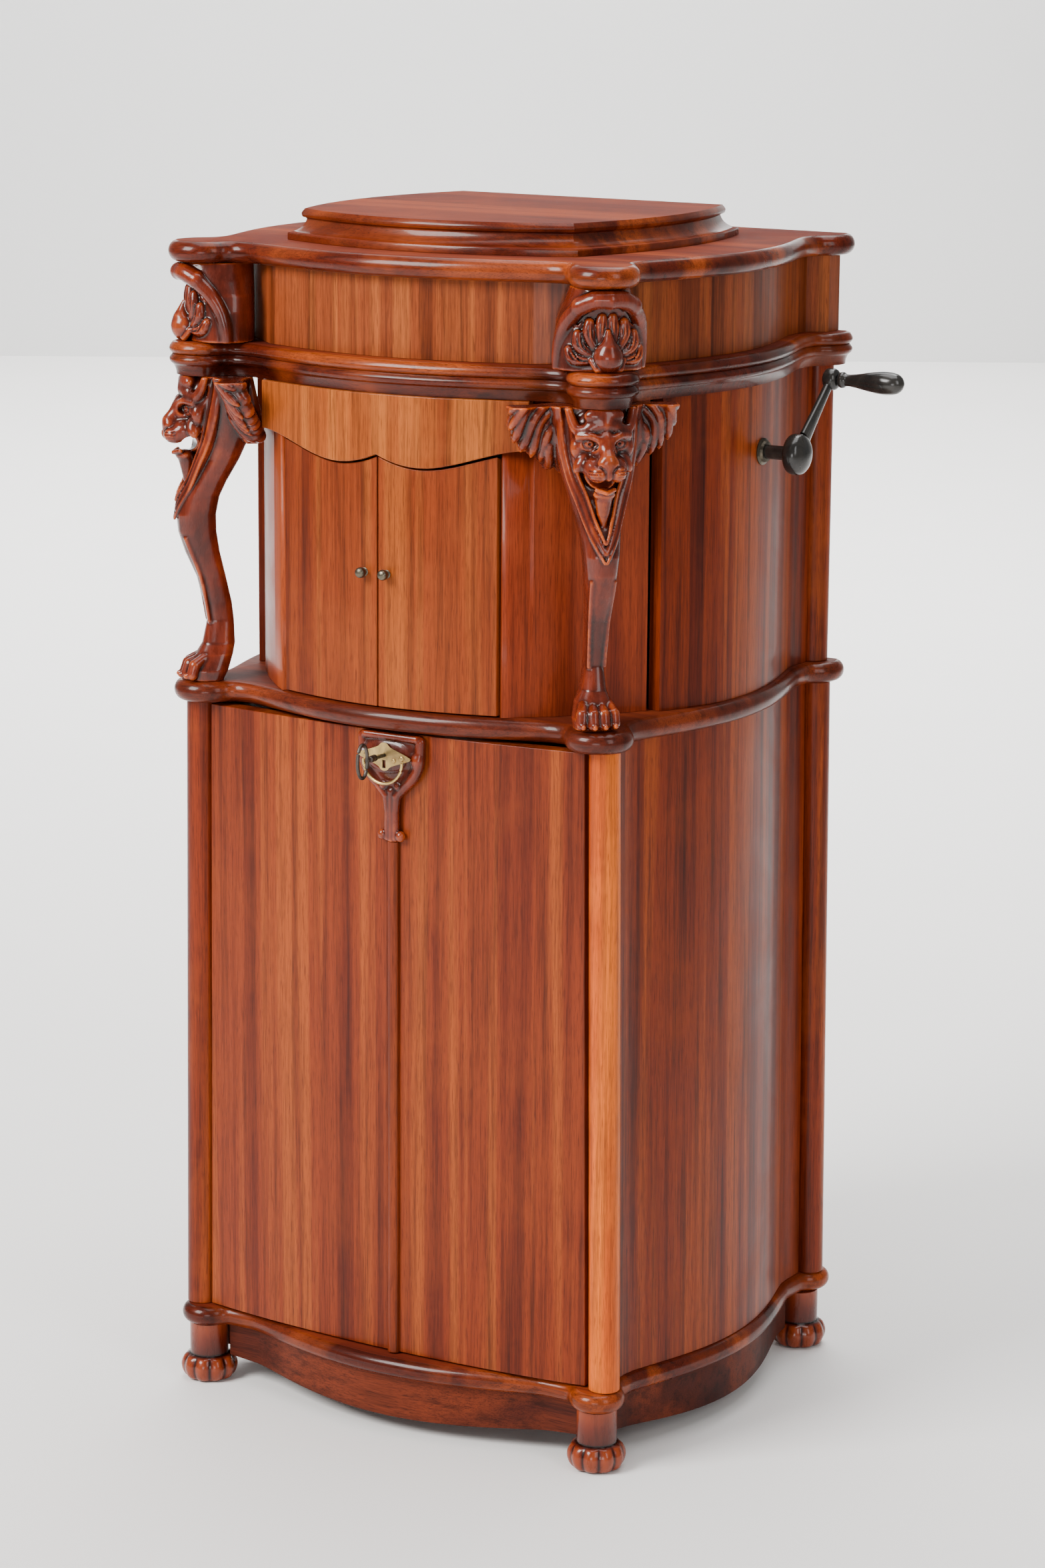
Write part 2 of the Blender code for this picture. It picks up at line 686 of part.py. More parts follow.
def build_valance():
    path = front_path(VALANCE_HALF, VALANCE_INSET, 20)
    rings = strip_rings(path, VALANCE_T, lambda x, y: valance_low(x), lambda x, y: BODY_MOULD_Z - GAP)
    loft("valance", rings, "golden")


def build_horn_doors():
    """The bevel at the top of the back face lets a door swing out under the valance's curve."""
    low = SHELF_TOP + CLEAR
    for side, sign in (("left", -1), ("right", 1)):
        rings = []
        path = front_path(HORN_DOOR_W, HORN_DOOR_INSET, 12, 0.0, CLEAR / 2)
        for x, y, nx, ny in path:
            top = valance_low(x) - 0.0020
            bevel = 0.0062 * max(0.0, 1 - (HORN_DOOR_W - x) / 0.050)
            inner = Vector((x, y + HORN_DOOR_T))
            rings.append([
                Vector((sign * x, y, low)), Vector((sign * inner.x, inner.y, low)),
                Vector((sign * inner.x, inner.y, top - bevel)), Vector((sign * x, y, top)),
            ])
        edge = path[-1]
        hinge = Vector((sign * (edge[0] + 0.0006), edge[1] - 0.0020, (low + valance_low(HORN_DOOR_W)) / 2))
        loft("horn_door_" + side, rings, "golden", hinge)
        knob_x = 0.0110 if sign > 0 else 0.0150
        face = front_y(knob_x) + HORN_DOOR_INSET - GAP - 0.0004
        profile = (
            (0.0030, 0.0), (0.0030, 0.0030), (0.0049, 0.0045), (0.0053, 0.0080), (0.0040, 0.0104),
            (0.0014, 0.0112),
        )
        turned("horn_knob_" + side, profile, (sign * knob_x, face, KNOB_Z), (0, -1, 0), "bronze", 14, hinge)


def leg_ring(z, back, front, half, flat, shift=0.0, steps=16):
    """One level section of a lion leg in (outward, sideways, z); flat squares its back."""
    ring = []
    middle = back + (front - back) * (0.5 - 0.42 * flat)
    for i in range(steps):
        turn = 2 * math.pi * i / steps
        out = math.cos(turn)
        reach = (front - middle) * out if out > 0 else (middle - back) * out
        ring.append((middle + reach, half * math.sin(turn) + shift, z))
    return ring


LEG_LEVELS = (
    # height over the shelf, back, front, half width, flatness of the back
    (0.0000, -0.0120, 0.0290, 0.0205, 0.0), (0.0100, -0.0190, 0.0290, 0.0222, 0.0),
    (0.0200, -0.0235, 0.0215, 0.0210, 0.0), (0.0340, -0.0270, 0.0070, 0.0150, 0.0),
    (0.0600, -0.0262, 0.0010, 0.0125, 0.0), (0.1000, -0.0205, 0.0080, 0.0145, 0.0),
    (0.1320, -0.0110, 0.0215, 0.0170, 0.0), (0.1680, -0.0095, 0.0303, 0.0178, 0.0),
    (0.1980, -0.0185, 0.0230, 0.0205, 0.0), (0.2180, -0.0310, 0.0320, 0.0290, 0.3),
    (0.2360, -0.0440, 0.0340, 0.0500, 0.8), (0.2640, -0.0455, 0.0440, 0.0610, 1.0),
    (0.2830, -0.0455, 0.0270, 0.0640, 1.0), (0.3070, -0.0455, 0.0270, 0.0640, 1.0),
)


def build_lion_legs():
    low = SHELF_TOP + GAP
    high = BODY_MOULD_Z - GAP
    scale = (high - low) / LEG_LEVELS[-1][0]
    for side, sign in (("left", -1), ("right", 1)):
        rings = []
        for height, back, front, half, flat in LEG_LEVELS:
            ring = leg_ring(low + height * scale, back, front, half, flat, -0.0030 * flat)
            rings.append([corner_point(sign, out, across, z) for out, across, z in ring])
        loft("lion_leg_" + side, rings, "carving")


def corner_point(sign, out, across, z):
    """From a corner's own axes, outwards at 45 degrees and sideways towards the back, to the cabinet's."""
    half = math.sqrt(0.5)
    x = HALF_WIDTH + (out + across) * half
    y = -HALF_DEPTH + (across - out) * half
    return Vector((sign * x, y, z))


def build_horn():
    """The flared wooden sound chamber: mouth behind the doors, throat up under the tonearm."""
    wall = 0.0060
    mouth_z = (SHELF_TOP + VALANCE_LOW_Z) / 2
    stations = (
        # centre x, y, z, half width, half height, turn towards upright
        (0.000, -0.2040, mouth_z, HORN_DOOR_W + 0.0085, (VALANCE_LOW_Z - SHELF_TOP) / 2 - 0.0030, 0.0),
        (0.006, -0.1200, mouth_z - 0.008, 0.1060, 0.0880, 0.0),
        (0.030, -0.0300, mouth_z - 0.0167, 0.0720, 0.0700, 0.0),
        (TONEARM_X - 0.060, 0.0500, mouth_z - 0.0217, 0.0440, 0.0480, 0.15),
        (TONEARM_X - 0.023, 0.1120, mouth_z - 0.0047, 0.0280, 0.0330, 0.55),
        (TONEARM_X, TONEARM_Y, mouth_z + 0.0653, 0.0220, 0.0220, 1.0),
        (TONEARM_X, TONEARM_Y, BOARD_Z - GAP, 0.0200, 0.0200, 1.0),
    )

    def section(station, shrink):
        cx, cy, cz, half_w, half_h, turn = station
        lift = turn * math.pi / 2
        up = Vector((0, -math.sin(lift), math.cos(lift)))
        ring = []
        power = 0.35 + 0.65 * min(1.0, turn + 0.25)
        for i in range(16):
            a = 2 * math.pi * (i + 0.5) / 16
            c = math.copysign(abs(math.cos(a)) ** power, math.cos(a))
            s = math.copysign(abs(math.sin(a)) ** power, math.sin(a))
            across = Vector((c * (half_w - shrink), 0, 0))
            ring.append(Vector((cx, cy, cz)) + across + up * s * (half_h - shrink))
        return ring

    rings = [section(s, 0.0) for s in stations]
    rings += [section(s, wall) for s in reversed(stations)]
    loft("sound_horn", rings, "inside", closed=True)


def build_top():
    moulding = moulded_board("body_top_moulding", HALF_WIDTH, LOBE_R, 0.0, (
        (0.0070, BODY_MOULD_Z), (0.0065, BODY_MOULD_Z + 0.0040), (0.0042, BODY_MOULD_Z + 0.0095),
        (0.0012, SPLIT_Z - 0.0085), (0.0, SPLIT_Z - 0.0045), (0.0030, SPLIT_Z),
    ))
    cut(moulding, prism(lid_opening(), BODY_MOULD_Z - 0.01, SPLIT_Z + 0.01), "well")
    board = lid_opening(0.0080)
    loft("motor_board", prism(board, BOARD_Z, BOARD_TOP), "veneer", smooth=False)
    spindle = (SPINDLE_X, SPINDLE_Y, BOARD_Z - 0.01)
    bore = turned_rings([(0.0060, 0), (0.0060, 0.05)], spindle, (0, 0, 1), 16)
    cut(bpy.data.objects["motor_board"], bore, "bore")


# ---------------------------------------------------------------- lid
def build_lid():
    moulding = moulded_board("lid_lower_moulding", HALF_WIDTH, LOBE_R, 0.0, (
        (0.0030, LID_Z), (0.0004, LID_Z + 0.0030), (0.0, LID_Z + LID_MOULD_T * 0.5),
        (0.0030, LID_Z + LID_MOULD_T - 0.0015), (0.0080, LID_Z + LID_MOULD_T),
    ))
    cut(moulding, prism(lid_opening(), LID_Z - 0.01, FRIEZE_Z + 0.01), "lid_well")
    low = FRIEZE_Z
    high = FRIEZE_Z + FRIEZE_T
    front = [(p[0], p[1]) for p in front_path(HALF_WIDTH - 0.0702, FRIEZE_INSET, 12)]
    right = [(p[0], p[1]) for p in side_path(-0.1480, 0.1950, FRIEZE_INSET, 1, 10)]
    corner_x = HALF_WIDTH + 0.0165
    rear = [(HALF_WIDTH + 0.0050, 0.2000), (corner_x, 0.2080), (corner_x, BACK - 0.0030)]
    half = right + rear
    plan = front + half + [(-x, y) for x, y in reversed(half)]
    frieze = loft("lid_frieze", prism(plan, low, high), "veneer")
    cut(frieze, prism(lid_opening(-0.0010), low - 0.01, high + 0.01), "frieze_well")
    top_profile = bullnose(LID_TOP_Z, LID_TOP_Z + LID_TOP_T, 4, 0.0095)
    moulded_board("lid_top_board", HALF_WIDTH, LOBE_R, 0.0, top_profile)
    build_plinth()
    build_brackets()
    build_hinge()


def build_plinth():
    front = 0.1640
    rear = 0.1520
    front_sag = 0.0450
    side_sag = 0.0270
    rings = []
    for inset, height in ((0.0, 0.0), (0.0, 0.0065), (0.0060, 0.0085), (0.0110, 0.0130), (0.0140, 0.0200),
                          (0.0110, 0.0215), (0.0100, 0.0255), (0.0125, PLINTH_T)):
        half = PLINTH_HALF - inset
        ring = []
        for i in range(13):
            x = -half + 2 * half * i / 12
            ring.append((x, -(front - inset) - front_sag * (1 - (x / half) ** 2)))
        low = -(front - inset)
        high = rear - inset
        middle = (low + high) / 2
        span = (high - low) / 2
        side = []
        for i in range(1, 11):
            y = low + (high - low) * i / 10
            side.append((half + side_sag * (1 - ((y - middle) / span) ** 2), y))
        ring += side
        ring += [(-x, y) for x, y in reversed(side)]
        rings.append([Vector((x + PLINTH_SHIFT, y, PLINTH_Z + height)) for x, y in ring])
    loft("lid_plinth", rings, "moulding")


def build_brackets():
    """Carved corner brackets under the lid's front lobes."""
    low = FRIEZE_Z
    levels = (
        # height over the frieze's foot, back, front, half width
        (0.0000, -0.0500, 0.0270, 0.0430),
        (0.0110, -0.0500, 0.0315, 0.0440),
        (0.0260, -0.0500, 0.0290, 0.0440),
        (0.0450, -0.0500, 0.0215, 0.0430),
        (0.0590, -0.0500, 0.0270, 0.0400),
        (0.0690, -0.0490, 0.0325, 0.0360),
        (0.0770, -0.0420, 0.0300, 0.0270),
    )
    for side, sign in (("left", -1), ("right", 1)):
        rings = []
        for height, back, front, half in levels:
            z = low + height * (FRIEZE_T / 0.0775)
            ring = leg_ring(z, back, front, half, 0.9, -0.0010)
            rings.append([corner_point(sign, out, across, level) for out, across, level in ring])
        loft("lid_bracket_" + side, rings, "carving")


HINGE_Y = BACK + HINGE_R + 0.0008
HINGE_HALF = 0.1500


def build_hinge():
    """One long butt hinge on the back: the body's leaf carries the pin and three knuckles, the lid's two."""
    plate = 0.0014
    face = BACK + GAP
    knuckle = 2 * HINGE_HALF / 5
    lid = [(-HINGE_HALF, face), (HINGE_HALF, face), (HINGE_HALF, face + plate), (-HINGE_HALF, face + plate)]
    body_leaf = loft("body_hinge_leaf", prism(lid, SPLIT_Z - 0.0160, SPLIT_Z - 0.0010), "brass", smooth=False)
    pin_middle = (0, HINGE_Y, SPLIT_Z)
    lid_rings = prism(lid, SPLIT_Z + 0.0012, SPLIT_Z + 0.0115)
    lid_leaf = loft("lid_hinge_leaf", lid_rings, "brass", pin_middle, smooth=False)
    for i in range(5):
        x0 = -HINGE_HALF + i * knuckle + 0.0004
        x1 = -HINGE_HALF + (i + 1) * knuckle - 0.0004
        rings = turned_rings([(HINGE_R, x0), (HINGE_R, x1)], (0, HINGE_Y, SPLIT_Z), (1, 0, 0), 12)
        join(body_leaf if i % 2 == 0 else lid_leaf, rings, f"knuckle_{i}")
    for i in (1, 3):
        x0 = -HINGE_HALF + i * knuckle - 0.002
        x1 = x0 + knuckle + 0.004
        wide = turned_rings([(HINGE_R + 0.0004, x0 + 0.0020), (HINGE_R + 0.0004, x1 - 0.0020)],
                            (0, HINGE_Y, SPLIT_Z), (1, 0, 0), 12)
        cut(body_leaf, wide, f"lid_knuckle_room_{i}")
        bore = turned_rings([(0.0021, x0), (0.0021, x1)], (0, HINGE_Y, SPLIT_Z), (1, 0, 0), 10)
        cut(lid_leaf, bore, f"pin_bore_{i}")
    for i in (0, 2, 4):
        x0 = -HINGE_HALF + i * knuckle
        wide = turned_rings([(HINGE_R + 0.0004, x0), (HINGE_R + 0.0004, x0 + knuckle)],
                            (0, HINGE_Y, SPLIT_Z), (1, 0, 0), 12)
        cut(lid_leaf, wide, f"body_knuckle_room_{i}")
    pin = turned_rings([(0.0017, -HINGE_HALF + 0.004), (0.0017, HINGE_HALF - 0.004)],
                       (0, HINGE_Y, SPLIT_Z), (1, 0, 0), 10)
    join(body_leaf, pin, "pin")


# ---------------------------------------------------------------- crank
def crank_direction():
    return Vector((0, math.sin(CRANK_LEAN), math.cos(CRANK_LEAN)))


ARM_SECTION = ((-1, -0.5), (-0.6, -1), (0.6, -1), (1, -0.5), (1, 0.5), (0.6, 1), (-0.6, 1), (-1, 0.5))


def build_crank():
    panel_x = side_x(CRANK_Y) - PANEL_INSET
    centre = Vector((0, CRANK_Y, CRANK_Z))
    bush = ((0.0135, GAP), (0.0135, 0.0015), (0.0110, 0.0030), (0.0100, 0.0055), (SHAFT_R + RUN, 0.0055),
            (SHAFT_R + RUN, GAP))
    loft("crank_bush", turned_rings(bush, centre + Vector((panel_x + 0.0006, 0, 0)), (1, 0, 0), 20), "brass",
         closed=True)
    hub_x = CRANK_HUB_X
    arm_t = 0.0070
    inner_x = WHEEL_X - GEAR_W / 2 - 0.004
    shaft = (
        (0.0050, inner_x), (0.0050, WHEEL_X + 0.030), (SHAFT_R, WHEEL_X + 0.032),
        (SHAFT_R, hub_x - 0.0105), (0.0140, hub_x - 0.0100), (0.0190, hub_x - 0.0070),
        (CRANK_HUB_R, hub_x - 0.0010), (0.0190, hub_x + 0.0060), (0.0120, hub_x + 0.0105),
        (0.0040, hub_x + 0.0120),
    )
    body = loft("crank_shaft", turned_rings(shaft, centre, (1, 0, 0), 20), "black", centre)
    teeth = gear_points(PINION_TEETH, GEAR_MODULE)
    rings = []
    for x in (WHEEL_X - GEAR_W / 2, WHEEL_X + GEAR_W / 2):
        rings.append([centre + Vector((x, a, b)) for a, b in teeth])
    join(body, rings, "winding_pinion")
    up = crank_direction()
    across = Vector((1, 0, 0)).cross(up)
    boss = centre + Vector((hub_x, 0, 0)) + up * CRANK_ARM
    rings = []
    for share, half in ((0.0, 0.0085), (0.35, 0.0072), (0.75, 0.0052), (1.0, 0.0050)):
        distance = CRANK_HUB_R + 0.0004 + (CRANK_ARM - CRANK_HUB_R - 0.0104) * share
        middle = centre + Vector((hub_x - 0.0005, 0, 0)) + up * distance
        rings.append([
            middle + across * half * s + Vector((arm_t / 2 * t, 0, 0))
            for s, t in ARM_SECTION
        ])
    arm = loft("crank_arm", rings, "black", centre)
    knuckle = ((0.0060, -0.0075), (0.0105, -0.0045), (0.0110, 0.0), (0.0105, 0.0045), (0.0075, 0.0075))
    join(arm, turned_rings(knuckle, boss, (1, 0, 0), 16), "boss")
    grip = (
        (0.0055, 0.0080), (0.0075, 0.0110), (0.0080, 0.0140), (0.0060, 0.0180),
        (0.0068, 0.0260), (0.0092, 0.0400), (0.0112, 0.0540), (GRIP_R, 0.0620),
        (0.0100, 0.0720), (0.0060, 0.0770), (0.0020, 0.0080 + GRIP_LEN),
    )
    loft("crank_grip", turned_rings(grip, boss, (1, 0, 0), 16), "black", boss)


# ---------------------------------------------------------------- works
SPINDLE_Y = CRANK_Y - GEAR_MODULE * (PINION_TEETH + WHEEL_TEETH) / 2
WHEEL_X = 0.0140
FRAME_LOW = CRANK_Z - 0.0302


def gear_points(teeth, module, backlash=0.00035, phase=0.0):
    """Plan of a spur gear with tapered teeth; tooth 0 points along the first axis plus phase."""
    pitch_r = teeth * module / 2
    tip_r = pitch_r + 0.85 * module
    root_r = pitch_r - 1.10 * module
    tooth = math.pi * module / 2 - 2 * backlash
    points = []
    for i in range(teeth):
        middle = phase + 2 * math.pi * i / teeth
        for radius, half in ((root_r, tooth * 0.78), (tip_r, tooth * 0.24), (tip_r, -tooth * 0.24),
                             (root_r, -tooth * 0.78)):
            turn = middle - half / pitch_r
            points.append((radius * math.cos(turn), radius * math.sin(turn)))
    return points


def build_works():
    arbor = Vector((0, SPINDLE_Y, CRANK_Z))
    bores = ((0.0041, arbor, -0.10, 0.05), (0.0051 + RUN, Vector((0, CRANK_Y, CRANK_Z)), 0.022, 0.05))
    left, right = -0.0920, 0.0300
    front, back, wall = -0.1300, 0.0560, 0.0040
    ring = []
    for z in (FRAME_LOW, BOARD_Z - GAP):
        corners = ((left, front), (right, front), (right, back), (left, back))
        ring.append([Vector((x, y, z)) for x, y in corners])
    inner = []
    for z in (BOARD_Z - GAP, FRAME_LOW):
        inner.append([
            Vector((x, y, z)) for x, y in (
                (left + wall, front + wall), (right - wall, front + wall), (right - wall, back - wall),
                (left + wall, back - wall))
        ])
    frame = loft("motor_frame", ring + inner, "iron", closed=True, smooth=False)
    for i, (radius, centre, x0, x1) in enumerate(bores):
        bearing = turned_rings([(radius + RUN, x0), (radius + RUN, x1)], centre, (1, 0, 0), 16)
        cut(frame, bearing, f"bearing_{i}")
    governor = Vector((SPINDLE_X + 0.0135, 0, CRANK_Z + 0.0138))
    for i, (y0, y1) in enumerate(((front - 0.01, front + 0.01), (back - 0.01, back + 0.01))):
        bearing = turned_rings([(0.0024, y0), (0.0024, y1)], governor, (0, 1, 0), 12)
        cut(frame, bearing, f"governor_bearing_{i}")
    wheel = gear_points(WHEEL_TEETH, GEAR_MODULE, phase=math.pi / WHEEL_TEETH)
    faces = (WHEEL_X - GEAR_W / 2, WHEEL_X + GEAR_W / 2)
    rings = [[arbor + Vector((x, a, b)) for a, b in wheel] for x in faces]
    winding = loft("winding_gear", rings, "brass", arbor)
    axle = turned_rings([(0.0040, left - 0.002), (0.0040, right + 0.002)], arbor, (1, 0, 0), 14)
    join(winding, axle, "arbor")
    barrel_x0, barrel_x1 = -0.0800, -0.0340
    bore_r = 0.0041 + RUN
    barrel = ((bore_r, barrel_x0), (BARREL_R, barrel_x0), (BARREL_R, barrel_x1), (bore_r, barrel_x1))
    drum = loft("spring_barrel", turned_rings(barrel, arbor, (1, 0, 0), 32), "iron", arbor, closed=True)
    build_crown(drum, arbor, barrel_x1)
    build_spindle(arbor)
    shaft = (
        (0.0020, front - 0.003), (0.0020, -0.1180), (0.0110, -0.1180), (0.0110, -0.1140),
        (0.0020, -0.1140), (0.0020, -0.1080), (0.0125, -0.1040), (0.0125, -0.0960),
        (0.0020, -0.0920), (0.0020, SPINDLE_Y - 0.0120), (0.0030, SPINDLE_Y - 0.0115),
        (0.0030, SPINDLE_Y + 0.0115), (0.0020, SPINDLE_Y + 0.0120), (0.0020, back + 0.003),
    )
    middle = governor + Vector((0, SPINDLE_Y, 0))
    loft("governor", turned_rings(shaft, governor, (0, 1, 0), 12), "brass", middle)


def build_crown(drum, arbor, face_x):
    """Upright teeth on the barrel's face, one ring joined on as a toothed wheel."""
    pitch = 2 * math.pi * CROWN_R / CROWN_TEETH
    mesh_data = bmesh.new()
    outer, inner, deep = CROWN_R + 0.0035, CROWN_R - 0.0035, 0.0042
    low, mid, high = face_x - 0.0010, face_x + 0.0012, face_x + deep
    columns = []
    for i in range(CROWN_TEETH):
        base = 2 * math.pi * (i + 0.5) / CROWN_TEETH
        for shift, x in ((-0.30, mid), (-0.14, high), (0.14, high), (0.30, mid)):
            columns.append((base + shift * pitch / CROWN_R, x))
    rings = []
    for turn, x in columns:
        out = Vector((0, math.sin(turn), math.cos(turn)))
        rings.append([
            arbor + out * outer + Vector((low, 0, 0)), arbor + out * outer + Vector((x, 0, 0)),
            arbor + out * inner + Vector((x, 0, 0)), arbor + out * inner + Vector((low, 0, 0)),
        ])
    add_loft(mesh_data, rings, closed=True)
    teeth = finish_object("crown_teeth", mesh_data, "iron", arbor)
    teeth.hide_render = True
    teeth.display_type = "WIRE"
    modifier = drum.modifiers.new("crown", "BOOLEAN")
    modifier.operation = "UNION"
    modifier.solver = "EXACT"
    modifier.object = teeth


def build_spindle(arbor):
    """Turntable, spindle and the small pinion that the barrel drives, turning together."""
    axis = Vector((SPINDLE_X, SPINDLE_Y, 0))
    platter = BOARD_TOP + 0.0100
    profile = (
        (0.0030, CRANK_Z + 0.0098), (0.0100, CRANK_Z + 0.0098), (0.0100, CRANK_Z + 0.0178),
        (0.0040, CRANK_Z + 0.0178), (0.0040, BOARD_TOP + 0.004), (0.0140, BOARD_TOP + 0.004),
        (0.0140, platter), (PLATTER_R - 0.006, platter), (PLATTER_R, platter + 0.002),
        (PLATTER_R, platter + 0.0130), (PLATTER_R - 0.003, platter + 0.0150), (0.0035, platter + 0.0150),
        (0.0035, platter + 0.0260), (0.0015, platter + 0.0280),
    )
    rings = turned_rings(profile, axis, (0, 0, 1), 40)
    turntable = loft("turntable", rings, "nickel", axis + Vector((0, 0, platter)))
    teeth = gear_points(12, 2 * CROWN_R / CROWN_TEETH, 0.0004)
    middle = CRANK_Z + CROWN_R
    rings = [[axis + Vector((a, b, z)) for a, b in teeth] for z in (middle - 0.0030, middle + 0.0030)]
    join(turntable, rings, "spindle_pinion")


TONEARM_HEADING = Vector((0.20, -1.0, 0)).normalized()


def build_tonearm():
    base = Vector((TONEARM_X, TONEARM_Y, BOARD_TOP + GAP))
    level = BOARD_TOP + 0.0595
    heading = TONEARM_HEADING
    stations = [
        (base, 0.0230), (base + Vector((0, 0, 0.0050)), 0.0230),
        (base + Vector((0, 0, 0.0060)), 0.0165), (base + Vector((0, 0, 0.0350)), 0.0150),
    ]
    bend_r = level - base.z - 0.0350
    rings = [turned_rings([(r, 0)], p, (0, 0, 1), 14)[0] for p, r in stations]
    side = Vector((0, 0, 1)).cross(heading)
    for i in range(1, 7):
        turn = math.pi / 2 * i / 6
        rise = Vector((0, 0, 0.0350 + bend_r * math.sin(turn)))
        centre = base + rise + heading * bend_r * (1 - math.cos(turn))
        ahead = heading * math.sin(turn) + Vector((0, 0, math.cos(turn)))
        up = side.cross(ahead)
        radius = 0.0150 - 0.0010 * i / 6
        rings.append(oriented_ring(centre, up, side, radius, rings[0], base))
    tip = base + heading * TONEARM_LEN
    tip.z = level
    for share, radius in ((0.4, 0.0125), (0.8, 0.0105), (1.0, 0.0100)):
        start = base + heading * bend_r
        start.z = level
        centre = start.lerp(tip, share)
        rings.append(oriented_ring(centre, side.cross(heading), side, radius, rings[0], base))
    loft("tonearm", rings, "nickel", base)
    build_soundbox(tip, heading, side)


def oriented_ring(centre, up, side, radius, first_ring, base):
    """A ring whose points keep the order of the tonearm's first ring."""
    heading = TONEARM_HEADING
    ring = []
    for point in first_ring:
        flat = (point - base).normalized()
        along_side = flat.dot(side)
        along_heading = flat.dot(heading)
        ring.append(centre + radius * (along_side * side + along_heading * up))
    return ring


def build_soundbox(tip, heading, side):
    """Round reproducer at the end of the tonearm, its disc upright and square to the arm's side."""
    centre = tip + heading * 0.0310
    profile = ((0.0200, -0.0075), (0.0270, -0.0065), (0.0280, 0.0), (0.0270, 0.0065), (0.0200, 0.0075))
    box = loft("soundbox", turned_rings(profile, centre, side, 24), "nickel", tip)
    neck = turned_rings([(0.0085, 0.0005), (0.0085, 0.0120)], tip, heading, 12)
    join(box, neck, "neck")


def build_brake():
    pivot = Vector((0.0452 - HALF_WIDTH, -0.1180, BOARD_TOP + GAP))
    hub = ((0.0070, 0.0), (0.0070, 0.0060), (0.0050, 0.0110), (0.0020, 0.0120))
    lever = turned("brake_lever", hub, pivot, (0, 0, 1), "nickel", 14)
    reach = Vector((0.0260, -0.0340, 0.0))
    across = Vector((-reach.y, reach.x, 0)).normalized() * 0.0030
    points = [pivot - across, pivot + across, pivot + reach + across, pivot + reach - across]
    rings = [[p + Vector((0, 0, h)) for p in points] for h in (0.0012, 0.0042)]
    join(lever, rings, "arm")


# ---------------------------------------------------------------- assembly
def stand_on_origin():
    """Moves the cabinet so that the middle of the object's footprint is the world origin."""
    bpy.context.view_layer.update()
    graph = bpy.context.evaluated_depsgraph_get()
    low = Vector((1e9, 1e9, 1e9))
    high = -low
    for obj in bpy.data.objects:
        if obj.type != "MESH" or obj.hide_render:
            continue
        evaluated = obj.evaluated_get(graph)
        for vertex in evaluated.to_mesh().vertices:
            point = obj.matrix_world @ vertex.co
            low = Vector(map(min, low, point))
            high = Vector(map(max, high, point))
        evaluated.to_mesh_clear()
    cabinet.location = (-(low.x + high.x) / 2, -(low.y + high.y) / 2, -low.z)


build_feet()
build_apron()
build_boards()
build_lower_body()
build_back_panel()
build_record_shelf()
build_lower_doors()
build_upper_body()
build_valance()
build_horn_doors()
build_lion_legs()
build_horn()
build_top()
build_lid()
build_crank()
build_works()
build_tonearm()
build_brake()
stand_on_origin()
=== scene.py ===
"""Looks of the upright cabinet gramophone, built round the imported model.

Lengths are metres. Shapes are made in the cabinet's own axes, x to the right, y to the back, z up from
the floor, with the middle of the corner lobes at x = y = 0, and SHIFT takes them to the model's frame.
"""
import json
import math

import bmesh
import bpy
import numpy as np
from mathutils import Matrix, Vector


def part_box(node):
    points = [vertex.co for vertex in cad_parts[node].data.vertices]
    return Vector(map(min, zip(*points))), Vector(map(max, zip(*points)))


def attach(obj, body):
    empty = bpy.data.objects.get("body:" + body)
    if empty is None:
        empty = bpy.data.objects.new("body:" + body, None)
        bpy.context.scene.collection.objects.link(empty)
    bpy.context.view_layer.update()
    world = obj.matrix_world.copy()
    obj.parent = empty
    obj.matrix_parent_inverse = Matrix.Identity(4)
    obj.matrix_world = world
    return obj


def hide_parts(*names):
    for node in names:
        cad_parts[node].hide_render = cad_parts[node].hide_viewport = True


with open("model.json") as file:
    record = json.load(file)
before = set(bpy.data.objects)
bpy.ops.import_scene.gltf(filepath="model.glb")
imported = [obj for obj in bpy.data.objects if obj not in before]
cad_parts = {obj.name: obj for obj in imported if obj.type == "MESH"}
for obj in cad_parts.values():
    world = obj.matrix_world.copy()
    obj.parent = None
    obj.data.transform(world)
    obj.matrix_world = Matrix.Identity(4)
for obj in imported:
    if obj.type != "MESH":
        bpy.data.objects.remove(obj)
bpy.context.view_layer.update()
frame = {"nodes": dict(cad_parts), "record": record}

# ---------------------------------------------------------------- dimensions shared with the model
GAP = 0.0003
CLEAR = 0.0015
HALF_WIDTH = 0.2302
HALF_WIDTH_BASE = HALF_WIDTH + 0.0058
HALF_DEPTH = 0.214
BACK = 0.2335
REAR_LOBE_Y = BACK - 0.014
LOBE_R = 0.0345
LOBE_R_SHELF = 0.0335
LOBE_R_BASE = 0.0275
VALLEY_R = 0.015
FRONT_LOW = 0.2195
FRONT_BOW = 0.037
FRONT_SPAN = HALF_WIDTH - 0.0522
SIDE_LOW = HALF_WIDTH + 0.0153
SIDE_BOW = 0.0335
SIDE_SPAN = 0.164
BASE_GROW = 0.004
FOOT_R = 0.0295
FOOT_H = 0.0275
STUB_R = 0.02
BASE_Z = 0.062
BASE_TOP = BASE_Z + 0.0205
SHELF_Z = 0.7248
SHELF_TOP = SHELF_Z + 0.0212
SPLIT_Z = SHELF_TOP + 0.3285
BODY_MOULD_Z = SPLIT_Z - 0.0205
LID_MOULD_T = 0.0125
LID_Z = SPLIT_Z + GAP
FRIEZE_Z = LID_Z + LID_MOULD_T + GAP
FRIEZE_T = 0.0775
LID_TOP_Z = FRIEZE_Z + FRIEZE_T + GAP
LID_TOP_T = 0.021
PLINTH_Z = LID_TOP_Z + LID_TOP_T + GAP
PLINTH_T = 0.03
PLINTH_HALF = HALF_WIDTH - 0.0627
